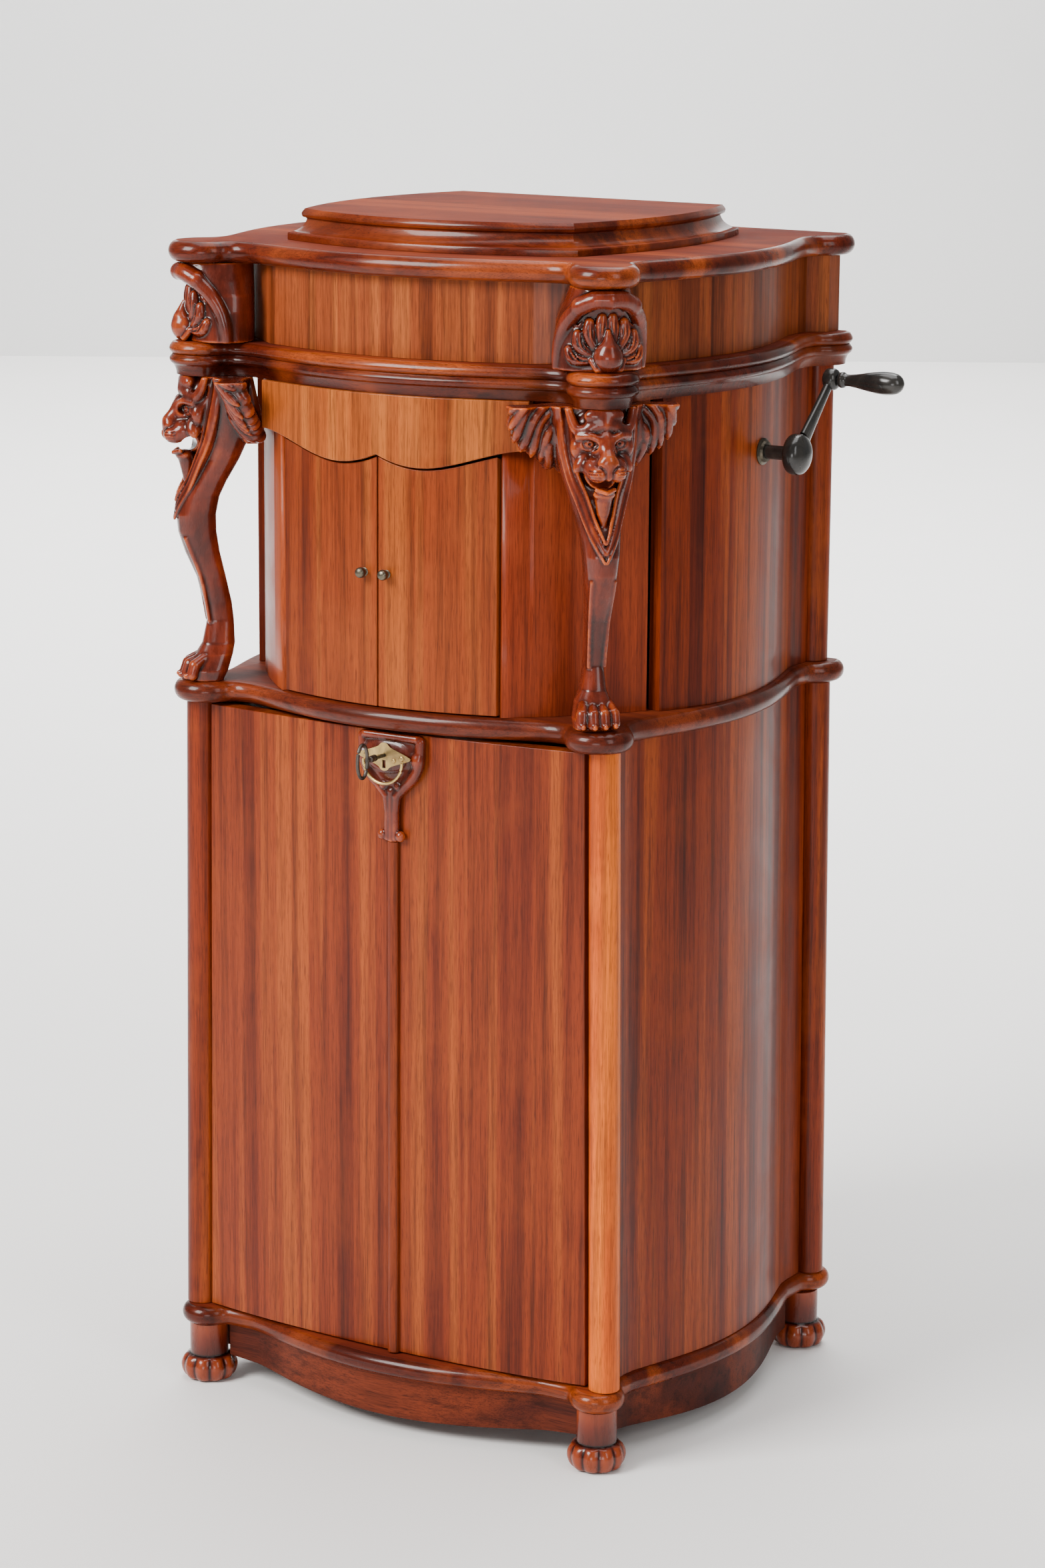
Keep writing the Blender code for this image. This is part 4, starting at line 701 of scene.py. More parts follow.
def lid_opening(grow=0.0):
    half = HALF_WIDTH - 0.0252 + grow
    corner = HALF_WIDTH - 0.0952 + grow * 0.4
    return [
        (-corner, -0.19 - grow), (corner, -0.19 - grow),
        (half, -0.115 - grow * 0.4), (half, 0.213 + grow),
        (-half, 0.213 + grow), (-half, -0.115 - grow * 0.4),
    ]


def strip_rings(path, thickness, low, high):
    rings = []
    for x, y, nx, ny in path:
        inner = (x + nx * thickness, y + ny * thickness)
        bottom = low(x, y)
        top = high(x, y)
        rings.append([
            Vector((x, y, bottom)), Vector((*inner, bottom)), Vector((*inner, top)), Vector((x, y, top)),
        ])
    return rings


def front_path(half, inset, steps=48, grow=0.0, start=None):
    start = -half if start is None else start
    path = []
    for i in range(steps + 1):
        x = start + (half - start) * i / steps
        slope = slope_of(front_y, x)
        inward = Vector((-slope, 1)).normalized()
        path.append((x + inward.x * inset, front_y(x, grow) + inward.y * inset, inward.x, inward.y))
    return path


def side_path(low, high, inset, sign, steps=40, grow=0.0):
    path = []
    for i in range(steps + 1):
        y = low + (high - low) * i / steps
        slope = slope_of(side_x, y)
        inward = Vector((-1, slope)).normalized()
        x = side_x(y, grow) + inward.x * inset
        path.append((sign * x, y + inward.y * inset, sign * inward.x, inward.y))
    return path


def piece(node, rings, finish, edge=0.001, angle=32):
    obj = make(node + "_look", lofted(rings), finish, angle)
    if edge:
        soften(obj, edge)
    return stand_for(obj, node)


SIDES = (("left", -1), ("right", 1))


# ---------------------------------------------------------------- base and lower body
def build_feet():
    profile = smooth_profile((
        (0.017, 0.0, 0.2), (0.0255, 0.003, 1.0), (FOOT_R, FOOT_H * 0.5, 1.0), (0.0262, FOOT_H * 0.86, 1.0),
        (STUB_R, FOOT_H, 0.0),
    ), 5) + [(STUB_R, FOOT_H + 0.002, 0.0), (STUB_R, BASE_Z - GAP, 0.0)]
    for side, sign in SIDES:
        for end, y in (("front", -HALF_DEPTH), ("rear", REAR_LOBE_Y - 0.009)):
            node = f"foot_{end}_{side}"
            rings = turned_rings(profile, (sign * HALF_WIDTH_BASE, y, 0), (0, 0, 1), 80, 10, 0.085)
            obj = make(node + "_look", lofted(rings), "foot", 50)
            # convexity for the painted shade in the hollows and the painted highlight, with wear, on the
            # lobes
            add_shade_highlight_and_wear(obj.data, 0.0004, 0.002)
            stand_for(obj, node)


def build_aprons():
    top = BASE_Z - GAP
    reach = HALF_WIDTH_BASE - STUB_R - 0.004
    rings = strip_rings(front_path(reach, 0.012, 48, BASE_GROW), 0.014,
                        lambda x, y: 0.017 + 0.01 * (x / reach) ** 2, lambda x, y: top)
    piece("apron_front", rings, "apron", 0.0012)
    for side, sign in SIDES:
        rings = strip_rings(side_path(-0.188, 0.178, 0.012, sign, 40, BASE_GROW), 0.014,
                            lambda x, y: 0.016 + 0.011 * (y / 0.185) ** 2, lambda x, y: top)
        piece("apron_" + side, rings, "apron", 0.0012)


def column_x(z):
    share = (SHELF_Z - z) / (SHELF_Z - BASE_TOP)
    return COLUMN_TOP_X + (COLUMN_LOW_X - COLUMN_TOP_X) * share


def build_lower_body():
    low = BASE_TOP + GAP
    high = SHELF_Z - GAP
    rear_y = BACK - COLUMN_R - 0.003
    spread = COLUMN_LOW_X - COLUMN_TOP_X
    for side, sign in SIDES:
        for end, y in (("front", -HALF_DEPTH), ("rear", rear_y)):
            rings = [turned_rings([(COLUMN_R, 0)], (sign * column_x(z), y, z), (0, 0, 1), 48)[0]
                     for z in (low, high)]
            finish = "column" if (end, side) == ("front", "right") else "rear_column"
            piece(f"lower_column_{end}_{side}", rings, finish, 0.0008)
        rings = []
        beside = COLUMN_R + 0.0015
        for x, y, nx, ny in side_path(-HALF_DEPTH + beside, rear_y - beside, PANEL_INSET, sign):
            foot = x + sign * spread
            rings.append([
                Vector((foot, y, low)), Vector((foot + nx * PANEL_T, y + ny * PANEL_T, low)),
                Vector((x + nx * PANEL_T, y + ny * PANEL_T, high)), Vector((x, y, high)),
            ])
        piece("lower_side_" + side, rings, "side", 0.0008)


def door_face(x):
    share = x / (COLUMN_TOP_X - COLUMN_R)
    return -(DOOR_FACE_Y + DOOR_BOW * (1 - share ** 2))


def build_lower_doors():
    low = BASE_TOP + CLEAR
    high = SHELF_Z - CLEAR - 0.0015
    for side, sign in SIDES:
        inner = sign * DOOR_SPLIT_X + CLEAR / 2
        rings = []
        for i in range(33):
            ring = []
            for z, back in ((low, 0.0), (low, 1.0), (high, 1.0), (high, 0.0)):
                edge = column_x(z) - COLUMN_R - 0.002
                x = inner + (edge - inner) * i / 32
                ring.append(Vector((sign * x, door_face(x) + back * DOOR_T, z)))
            rings.append(ring)
        piece("lower_door_" + side, rings, "low_door", 0.001)
    x = DOOR_SPLIT_X + CLEAR / 2 + STRIP_W / 2
    face = door_face(x) - GAP
    section = []
    for i in range(25):
        turn = math.pi * i / 24
        proud = 0.0015 + (STRIP_T - 0.0015) * math.sin(turn)
        section.append((x - STRIP_W / 2 * math.cos(turn), face - proud))
    section += [(x + STRIP_W / 2, face), (x - STRIP_W / 2, face)]
    top = LOCK_Z + 0.022 - CARTOUCHE_H - GAP
    piece("centre_astragal", prism(section[::-1], BASE_TOP + CLEAR, top), "low_door", 0.0006)


# ---------------------------------------------------------------- upper body
def upper_side_path(low, high, steps=40):
    path = []
    for x, y, nx, ny in side_path(low, high, PANEL_INSET, 1, steps):
        share = min(1.0, max(0.0, (-y - 0.02) / (-UPPER_FRONT_Y - 0.02)))
        path.append((x - 0.012 * share ** 2, y, nx, ny))
    return path


def valance_low(x):
    x = abs(x)
    dip = 0.048
    if x < dip:
        return VALANCE_LOW_Z + (VALANCE_CUSP_Z - VALANCE_LOW_Z) * (1 - x / dip) ** 2
    share = (x - dip) / (VALANCE_HALF - dip)
    return VALANCE_LOW_Z + (VALANCE_END_Z - VALANCE_LOW_Z) * (3 * share ** 2 - 2 * share ** 3)


def build_upper_body():
    low = SHELF_TOP + GAP
    high = BODY_MOULD_Z - GAP
    rear_y = BACK - COLUMN_R - 0.003
    start = Vector((HORN_DOOR_W + 0.003, front_y(HORN_DOOR_W) + HORN_DOOR_INSET + 0.001))
    x, y = upper_side_path(UPPER_FRONT_Y, 0.0, 4)[0][:2]
    end = Vector((x - UPPER_T * 0.55, y - 0.0012))
    facing = (end - start).normalized()
    end = end - facing * 0.005
    outward = Vector((facing.y, -facing.x))
    for side, sign in SIDES:
        column = turned_rings([(COLUMN_R, 0), (COLUMN_R, high - low)], (sign * REAR_COLUMN_X, rear_y, low),
                              (0, 0, 1), 48)
        piece("upper_column_rear_" + side, column, "rear_column", 0.0008)
        path = [(sign * px, py, sign * pnx, pny) for px, py, pnx, pny in
                upper_side_path(UPPER_FRONT_Y, rear_y - COLUMN_R - 0.0015)]
        node = "upper_side_" + side
        rings = strip_rings(path, UPPER_T, lambda a, b: low, lambda a, b: high)
        panel = make(node + "_look", lofted(rings), "side")
        if sign > 0:
            hole = turned_rings([(SHAFT_R + RUN, -0.03), (SHAFT_R + RUN, 0.03)],
                                (side_x(CRANK_Y) - PANEL_INSET, CRANK_Y, CRANK_Z), (1, 0, 0), 40)
            carve_away(panel, lofted(hole))
        stand_for(soften(panel, 0.0008), node)
        rings = []
        for i in range(25):
            share = i / 24
            out = start.lerp(end, share) + outward * NICHE_BULGE * (1 - (2 * share - 1) ** 2)
            back = out - outward * NICHE_T
            rings.append([
                Vector((sign * out.x, out.y, low)), Vector((sign * back.x, back.y, low)),
                Vector((sign * back.x, back.y, high)), Vector((sign * out.x, out.y, high)),
            ])
        node = "niche_panel_" + side
        niche = make(node + "_look", lofted(rings), "niche")
        room = strip_rings(front_path(VALANCE_HALF + 0.0006, VALANCE_INSET - 0.001, 40), VALANCE_T + 0.0014,
                           lambda a, b: valance_low(a) - GAP, lambda a, b: high + 0.01)
        carve_away(niche, lofted(room))
        stand_for(niche, node)
    rings = strip_rings(front_path(VALANCE_HALF, VALANCE_INSET, 80), VALANCE_T, lambda a, b: valance_low(a),
                        lambda a, b: BODY_MOULD_Z - GAP)
    piece("valance", rings, "valance", 0.0014)


def build_horn_doors():
    low = SHELF_TOP + CLEAR
    for side, sign in SIDES:
        rings = []
        for x, y, _, _ in front_path(HORN_DOOR_W, HORN_DOOR_INSET, 40, 0.0, CLEAR / 2):
            top = valance_low(x) - 0.002
            bevel = 0.0062 * max(0.0, 1 - (HORN_DOOR_W - x) / 0.05)
            rings.append([
                Vector((sign * x, y, low)), Vector((sign * x, y + HORN_DOOR_T, low)),
                Vector((sign * x, y + HORN_DOOR_T, top - bevel)), Vector((sign * x, y, top)),
            ])
        piece("horn_door_" + side, rings, "door", 0.001)
        knob_x = 0.011 if sign > 0 else 0.015
        face = front_y(knob_x) + HORN_DOOR_INSET - GAP - 0.0004
        profile = smooth_profile(((0.0042, 0.0), (0.0032, 0.0008), (0.0028, 0.0026), (0.0046, 0.004),
                                  (0.0053, 0.007), (0.0042, 0.01), (0.001, 0.0112)), 4)
        rings = turned_rings(profile, (sign * knob_x, face, KNOB_Z), (0, -1, 0), 32)
        piece("horn_knob_" + side, rings, "bronze", 0, 60)


def build_boards():
    moulded("base_board", HALF_WIDTH_BASE, LOBE_R_BASE, BASE_GROW, bullnose(BASE_Z, BASE_TOP), "moulding")
    moulded("middle_shelf", HALF_WIDTH, LOBE_R_SHELF, 0.0, bullnose(SHELF_Z, SHELF_TOP), "shelf", True)
    moulded("body_top_moulding", HALF_WIDTH, LOBE_R, 0.0, [(inset, z) for inset, z in smooth_profile((
        (0.007, BODY_MOULD_Z), (0.0065, BODY_MOULD_Z + 0.004), (0.0042, BODY_MOULD_Z + 0.0095),
        (0.0012, SPLIT_Z - 0.0085), (0.0, SPLIT_Z - 0.0045), (0.003, SPLIT_Z),
    ), 3)], "moulding", hole=lid_opening())


# ---------------------------------------------------------------- lid
def build_lid():
    moulded("lid_lower_moulding", HALF_WIDTH, LOBE_R, 0.0, [(inset, z) for inset, z in smooth_profile((
        (0.003, LID_Z), (0.0004, LID_Z + 0.003), (0.0, LID_Z + LID_MOULD_T * 0.5),
        (0.003, LID_Z + LID_MOULD_T - 0.0015), (0.008, LID_Z + LID_MOULD_T),
    ), 3)], "moulding", hole=lid_opening())
    high = FRIEZE_Z + FRIEZE_T
    front = [(p[0], p[1]) for p in front_path(HALF_WIDTH - 0.0702, FRIEZE_INSET, 48)]
    right = [(p[0], p[1]) for p in side_path(-0.148, 0.195, FRIEZE_INSET, 1, 40)]
    corner_x = HALF_WIDTH + 0.0165
    half = right + [(HALF_WIDTH + 0.005, 0.2), (corner_x, 0.208), (corner_x, BACK - 0.003)]
    plan = front + half + [(-x, y) for x, y in reversed(half)]
    frieze = make("lid_frieze_look", lofted(prism(plan, FRIEZE_Z, high)), "frieze", 30)
    carve_away(frieze, lofted(prism(lid_opening(), FRIEZE_Z - 0.01, high + 0.01)))
    frieze.data.set_sharp_from_angle(angle=math.radians(30))
    stand_for(frieze, "lid_frieze")
    moulded("lid_top_board", HALF_WIDTH, LOBE_R, 0.0, bullnose(LID_TOP_Z, LID_TOP_Z + LID_TOP_T), "moulding")
    build_plinth()


def build_plinth():
    front = 0.164
    rear = 0.152
    profile = [(0.0, 0.0), (0.0, 0.0055)] + smooth_profile((
        (0.0006, 0.0068), (0.006, 0.0085), (0.011, 0.013), (0.0137, 0.019), (0.013, 0.0209),
    ), 4) + smooth_profile(((0.0108, 0.0218), (0.01, 0.0255), (0.0125, PLINTH_T)), 3)
    rings = []
    for inset, height in profile:
        half = PLINTH_HALF - inset
        ring = []
        for i in range(49):
            x = -half + 2 * half * i / 48
            ring.append((x, -(front - inset) - 0.045 * (1 - (x / half) ** 2)))
        low = -(front - inset)
        high = rear - inset
        side = []
        for i in range(1, 41):
            y = low + (high - low) * i / 40
            share = (y - (low + high) / 2) / ((high - low) / 2)
            side.append((half + 0.027 * (1 - share ** 2), y))
        ring += side + [(-x, y) for x, y in reversed(side)]
        rings.append([Vector((x + PLINTH_SHIFT, y, PLINTH_Z + height)) for x, y in ring])
    piece("lid_plinth", rings, "moulding", 0, 27)


# ---------------------------------------------------------------- crank
def gear_points(teeth, module, backlash=0.00035):
    pitch_r = teeth * module / 2
    tooth = math.pi * module / 2 - 2 * backlash
    root = pitch_r - 1.1 * module
    tip = pitch_r + 0.85 * module
    flank = ((root, tooth * 0.78), (tip, tooth * 0.24))
    points = []
    for i in range(teeth):
        for radius, half in flank + tuple((radius, -half) for radius, half in flank[::-1]):
            turn = 2 * math.pi * i / teeth - half / pitch_r
            points.append((radius * math.cos(turn), radius * math.sin(turn)))
    return points


def build_crank():
    centre = Vector((0, CRANK_Y, CRANK_Z))
    hub_x = CRANK_HUB_X
    wheel_x = 0.014
    shaft = [(0.005, wheel_x - 0.008), (0.005, wheel_x + 0.03), (SHAFT_R, wheel_x + 0.032),
             (SHAFT_R, hub_x - 0.0105)]
    shaft += smooth_profile(((0.0138, hub_x - 0.01), (0.019, hub_x - 0.007), (CRANK_HUB_R, hub_x - 0.001),
                             (0.0188, hub_x + 0.0055), (0.012, hub_x + 0.01), (0.004, hub_x + 0.012)), 5)
    teeth = [[centre + Vector((x, a, b)) for a, b in gear_points(10, 0.0025)]
             for x in (wheel_x - 0.004, wheel_x + 0.004)]
    obj = make("crank_shaft_look", lofted(turned_rings(shaft, centre, (1, 0, 0), 48), teeth), "black", 40)
    stand_for(obj, "crank_shaft")
    up = Vector((0, math.sin(CRANK_LEAN), math.cos(CRANK_LEAN)))
    across = Vector((1, 0, 0)).cross(up)
    boss = centre + Vector((hub_x, 0, 0)) + up * CRANK_ARM
    rings = []
    for i in range(13):
        share = i / 12
        half = 0.005 + 0.0036 * (1 - share) ** 1.4
        distance = CRANK_HUB_R + 0.0004 + (CRANK_ARM - CRANK_HUB_R - 0.0104) * share
        middle = centre + Vector((hub_x - 0.0005, 0, 0)) + up * distance
        ring = []
        for k in range(20):
            turn = 2 * math.pi * k / 20
            c = math.copysign(abs(math.cos(turn)) ** 0.7, math.cos(turn))
            s = math.copysign(abs(math.sin(turn)) ** 0.7, math.sin(turn))
            ring.append(middle + across * half * c + Vector((0.0036 * s, 0, 0)))
        rings.append(ring)
    knuckle = smooth_profile(((0.006, -0.0075), (0.0102, -0.0048), (0.011, 0.0), (0.0102, 0.0048),
                              (0.0072, 0.0075)), 4)
    obj = make("crank_arm_look", lofted(rings, turned_rings(knuckle, boss, (1, 0, 0), 32)), "black", 40)
    stand_for(obj, "crank_arm")
    grip = smooth_profile((
        (0.0055, 0.008), (0.0076, 0.0105), (0.008, 0.0135), (0.006, 0.0175), (0.0066, 0.026), (0.0092, 0.04),
        (0.0111, 0.053), (GRIP_R, 0.062), (0.0102, 0.0715), (0.0066, 0.077), (0.001, 0.008 + GRIP_LEN),
    ), 5)
    piece("crank_grip", turned_rings(grip, boss, (1, 0, 0), 40), "black", 0, 50)


# ---------------------------------------------------------------- lock, ring and key
def build_lock():
    x = DOOR_SPLIT_X + CLEAR / 2 + STRIP_W / 2 - 0.0035
    face = door_face(0.0) - 2 * GAP - CARTOUCHE_T - GAP
    plate_t = 0.0012
    points = []
    for i in range(96):
        turn = 2 * math.pi * i / 96
        c = math.cos(turn)
        s = math.sin(turn)
        beyond = abs(c) - 0.62
        point = 0.0195 * max(0.0, beyond) ** 1.3 / 0.38 ** 1.3
        reach = 0.0088 + 0.0022 * abs(math.cos(2 * turn)) ** 2 + point
        rise = 0.014 * s
        if beyond >= 0:
            rise = (0.014 + 0.004 * beyond) * s * max(0.0, 1 - beyond * 0.9)
        points.append((x + reach * c, LOCK_Z + rise))
    rings = [[Vector((px, face - depth, pz)) for px, pz in points] for depth in (0.0, plate_t)]
    plate = make("lock_escutcheon_look", lofted(rings), "brass", 40)
    slot = prism(((x - 0.0019, face + 0.001), (x + 0.0019, face + 0.001), (x + 0.0019, face - 0.01),
                  (x - 0.0019, face - 0.01)), LOCK_Z - 0.0115, LOCK_Z - 0.0035)
    carve_away(plate, lofted(slot))
    extra = bmesh.new()
    extra.from_mesh(plate.data)
    dome = smooth_profile(((0.003, 0.0), (0.0028, 0.0007), (0.0018, 0.0014), (0.0004, 0.0016)), 3)
    for side in (-1, 1):
        spot = Vector((x + side * 0.0205, face - plate_t + 0.0001, LOCK_Z)) + SHIFT
        add_loft(extra, turned_rings(dome, spot, (0, -1, 0), 20))
        spot = Vector((x + side * 0.0115, face - plate_t + 0.0001, LOCK_Z - 0.003)) + SHIFT
        add_loft(extra, turned_rings([(r * 0.8, h) for r, h in dome], spot, (0, -1, 0), 20))
    extra.to_mesh(plate.data)
    extra.free()
    plate.data.shade_smooth()
    plate.data.set_sharp_from_angle(angle=math.radians(40))
    stand_for(plate, "lock_escutcheon")
    front = face - plate_t - GAP
    middle = Vector((x, front - 0.0022, LOCK_Z - 0.004))
    points = []
    for i in range(41):
        turn = math.pi + math.pi * i / 40
        points.append(middle + 0.0225 * Vector((math.cos(turn), 0, math.sin(turn))))
    piece("ring_pull", tube(points, 0.0016, 14), "brass", 0, 50)
    hub = Vector((x, front, LOCK_Z + 0.0015))
    stem = [(0.0021, 0.0), (0.0021, 0.014), (0.0031, 0.015), (0.0034, 0.0165), (0.0027, 0.018),
            (0.0034, 0.0195),
            (0.0034, 0.0215), (0.0027, 0.023), (0.0031, 0.0243), (0.0021, 0.0255), (0.0021, 0.0296)]
    loop = []
    for i in range(48):
        turn = 2 * math.pi * i / 48
        loop.append(hub + Vector((0.0, -0.0373 + 0.0085 * math.cos(turn), 0.0165 * math.sin(turn))))
    mesh_data = bmesh.new()
    add_loft(mesh_data, turned_rings(stem, hub, (0, -1, 0), 24))
    add_loft(mesh_data, tube(loop, 0.0018, 12, True), True)
    stand_for(make("key_look", mesh_data, "iron", 50), "key")


# ---------------------------------------------------------------- carving, from a solid field
class Field:
    """A solid on a grid of (across, out, up) points: negative inside, built up from soft blobs."""

    def __init__(self, low, high, step):
        self.low = np.array(low)
        self.step = step
        axes = [np.arange(a, b, step, dtype=np.float32) for a, b in zip(low, high)]
        self.w, self.d, self.z = np.meshgrid(*axes, indexing="ij")
        self.value = np.full(self.w.shape, 0.05, dtype=np.float32)

    def window(self, places, reach):
        """The part of the grid within reach of some places, so that small blobs stay quick."""
        places = np.atleast_2d(np.array(places))
        low = np.floor((places.min(0) - reach - self.low) / self.step).astype(int)
        high = np.ceil((places.max(0) + reach - self.low) / self.step).astype(int)
        return tuple(slice(max(0, a), max(1, b)) for a, b in zip(low, high))

    def put(self, where, shape, soft, take=False):
        """Joins a shape on, or takes it away, with a soft seam."""
        old = self.value[where]
        if take:
            h = np.clip(0.5 - 0.5 * (shape + old) / soft, 0, 1)
            self.value[where] = old + (-shape - old) * h + soft * h * (1 - h)
        else:
            h = np.clip(0.5 + 0.5 * (shape - old) / soft, 0, 1)
            self.value[where] = shape + (old - shape) * h - soft * h * (1 - h)

    def ball(self, place, radii, soft=0.002, take=False, lean=0.0):
        """An ellipsoid; lean turns it in the (across, up) plane."""
        where = self.window([place], max(radii) + 3 * soft + 0.002)
        w = self.w[where] - place[0]
        z = self.z[where] - place[2]
        c, s = math.cos(lean), math.sin(lean)
        a = (w * c + z * s) / radii[0]
        b = (self.d[where] - place[1]) / radii[1]
        e = (z * c - w * s) / radii[2]
        shape = (np.sqrt(a * a + b * b + e * e) - 1) * min(radii)
        self.put(where, shape, soft, take)

    def rod(self, points, radii, soft=0.002, take=False):
        """A round bar through points with a radius at each."""
        points = np.array(points, dtype=float)
        where = self.window(points, max(radii) + 3 * soft + 0.002)
        w, d, z = self.w[where], self.d[where], self.z[where]
        best = None
        for i in range(len(points) - 1):
            a, b = points[i], points[i + 1]
            run = b - a
            t = (w - a[0]) * run[0] + (d - a[1]) * run[1] + (z - a[2]) * run[2]
            t = np.clip(t / max(1e-12, float(run @ run)), 0, 1)
            reach = np.sqrt((w - a[0] - t * run[0]) ** 2 + (d - a[1] - t * run[1]) ** 2
                            + (z - a[2] - t * run[2]) ** 2)
            shape = reach - radii[i] - t * (radii[i + 1] - radii[i])
            best = shape if best is None else np.minimum(best, shape)
        self.put(where, best, soft, take)

    def pillar(self, rows, power, soft=0.002):
        """An upright body: rows of (z, centre across, half width, back, front)."""
        z, centre, half, back, front = (np.array(column, dtype=float) for column in zip(*rows))
        centre_w = np.interp(self.z, z, centre)
        half_w = np.interp(self.z, z, half)
        low = np.interp(self.z, z, back)
        high = np.interp(self.z, z, front)
        half_d = (high - low) / 2
        a = np.abs((self.w - centre_w) / half_w) ** power
        b = np.abs((self.d - (low + high) / 2) / half_d) ** power
        shape = ((a + b) ** (1 / power) - 1) * np.minimum(half_w, half_d)
        ends = np.maximum(z[0] - self.z, self.z - z[-1])
        self.put(slice(None), np.maximum(shape, ends).astype(np.float32), soft)

    def mesh(self, name, place):
        """A bmesh of the surface; place takes (across, out, up) rows to cabinet axes."""
        f = self.value
        f[0], f[-1], f[:, 0], f[:, -1], f[:, :, 0], f[:, :, -1] = (0.01,) * 6
        solid = f < 0
        shape = tuple(n - 1 for n in f.shape)
        corners = [(i, j, k) for i in (0, 1) for j in (0, 1) for k in (0, 1)]

        def part(array, corner):
            return array[tuple(slice(c, c + n) for c, n in zip(corner, shape))]

        inside = sum(part(solid, corner).astype(np.int8) for corner in corners)
        active = (inside > 0) & (inside < 8)
        index = np.full(shape, -1, dtype=np.int64)
        cells = np.argwhere(active)
        index[active] = np.arange(len(cells))
        total = np.zeros((len(cells), 3))
        count = np.zeros(len(cells))
        for corner in corners:
            for axis in range(3):
                if corner[axis]:
                    continue
                other = tuple(c + (i == axis) for i, c in enumerate(corner))
                a = f[tuple((cells + corner).T)]
                b = f[tuple((cells + other).T)]
                crossed = (a < 0) != (b < 0)
                t = np.where(crossed, a / np.where(crossed, a - b, 1), 0)
                point = np.array(corner, dtype=float)[None, :].repeat(len(cells), 0)
                point[:, axis] += t
                total += point * crossed[:, None]
                count += crossed
        points = (cells + total / count[:, None]) * self.step + self.low
        faces = []
        for axis in range(3):
            u, v = [i for i in range(3) if i != axis]
            first = tuple(slice(0, -1) if i == axis else slice(1, -1) for i in range(3))
            second = tuple(slice(1, None) if i == axis else slice(1, -1) for i in range(3))
            a, b = solid[first], solid[second]
            where = np.argwhere(a != b)
            turned = a[tuple(where.T)]
            where[:, u] += 1
            where[:, v] += 1
            quad = []
            for du, dv in ((-1, -1), (0, -1), (0, 0), (-1, 0)):
                cell = where.copy()
                cell[:, u] += du
                cell[:, v] += dv
                quad.append(index[tuple(cell.T)])
            quad = np.stack(quad, 1)
            flip = turned if axis != 1 else ~turned
            quad[~flip] = quad[~flip][:, ::-1]
            faces.append(quad)
        mesh = bpy.data.meshes.new(name)
        mesh.from_pydata(place(points).tolist(), [], np.concatenate(faces).tolist())
        mesh.validate()
        return mesh


def carved_piece(node, mesh, mirror=False):
    """Shows a carved mesh, in cabinet axes, for a node."""
    if mirror:
        count = len(mesh.vertices)
        place = np.empty(count * 3)
        mesh.vertices.foreach_get("co", place)
        place[0::3] *= -1
        mesh.vertices.foreach_set("co", place)
        mesh.flip_normals()
    mesh_data = bmesh.new()
    mesh_data.from_mesh(mesh)
    obj = make(node + "_look", mesh_data, "carving", 180)
    # convexity for the painted shade in the hollows and the painted highlight, with wear, on the ridges
    add_shade_highlight_and_wear(obj.data, 0.0004, 0.0025)
    stand_for(obj, node)


def corner_place(points):
    """From the right corner's own axes (across towards the back, out at 45 degrees, up) to the cabinet's."""
    half = math.sqrt(0.5)
    across, out, up = points.T
    return np.stack((HALF_WIDTH + (out + across) * half, (across - out) * half - HALF_DEPTH, up), 1)


FACE_W = -0.003      # the lion's face is centred here
CARVE_STEP = 0.0012


def both(sign_points):
    """A list of (across, out, up) given from the face's middle, for its left and right side."""
    for sign in (-1, 1):
        yield [(FACE_W + sign * w, d, z) for w, d, z in sign_points]


def swelling(points, shares, radii):
    """A radius for each point of a rod, through given radii at shares of its run."""
    return np.interp(np.linspace(0, 1, len(points)), shares, radii)


def carve_leg(field):
    """The S-shaped leg with its paw, from the shelf up to the knee and the head's block."""
    low = SHELF_TOP + GAP
    field.pillar((
        (low, -0.0055, 0.0195, -0.015, 0.018), (low + 0.01, -0.0055, 0.0205, -0.02, 0.019),
        (0.772, -0.005, 0.0172, -0.025, 0.012), (0.783, -0.004, 0.0122, -0.0275, 0.0052),
        (0.806, -0.0035, 0.0092, -0.0268, 0.0002), (0.824, -0.0032, 0.0096, -0.0248, 0.003),
        (0.85, -0.003, 0.0108, -0.019, 0.01), (0.8755, -0.0028, 0.0132, -0.013, 0.0215),
        (0.896, -0.003, 0.0154, -0.0098, 0.0282), (0.914, -0.003, 0.0172, -0.0095, 0.03),
        (0.932, -0.003, 0.019, -0.013, 0.0258), (0.947, -0.003, 0.0215, -0.02, 0.018),
        (0.97, -0.003, 0.0265, -0.033, 0.007), (0.995, -0.003, 0.033, -0.044, 0.001),
        (1.02, -0.003, 0.04, -0.045, -0.001), (BODY_MOULD_Z - GAP, -0.003, 0.046, -0.045, 0.006),
    ), 2.7)
    for i, w in enumerate((-0.0205, -0.0105, -0.0005, 0.0095)):
        reach = (0.0185, 0.0225, 0.0225, 0.0185)[i]
        field.rod([(w * 0.85, 0.006, 0.769), (w, reach * 0.85, 0.7625), (w * 1.04, reach, 0.7535)],
                  [0.005, 0.0062, 0.0058], 0.0016)
        field.ball((w * 1.05, reach + 0.0052, 0.752), (0.0026, 0.004, 0.003), 0.0012)
    for i in range(3):
        w = (-0.0155, -0.0055, 0.0045)[i]
        gap = [(w, 0.02, 0.77), (w, 0.0285, 0.758), (w, 0.029, 0.748)]
        field.rod(gap, [0.0006, 0.0014, 0.0014], 0.0012, True)
    for side in both([(0.0078, -0.001, 0.806), (0.0092, 0.0075, 0.85), (0.011, 0.0225, 0.89)]):
        field.rod(smooth_profile(side, 6), [0.0016] * 13, 0.003)


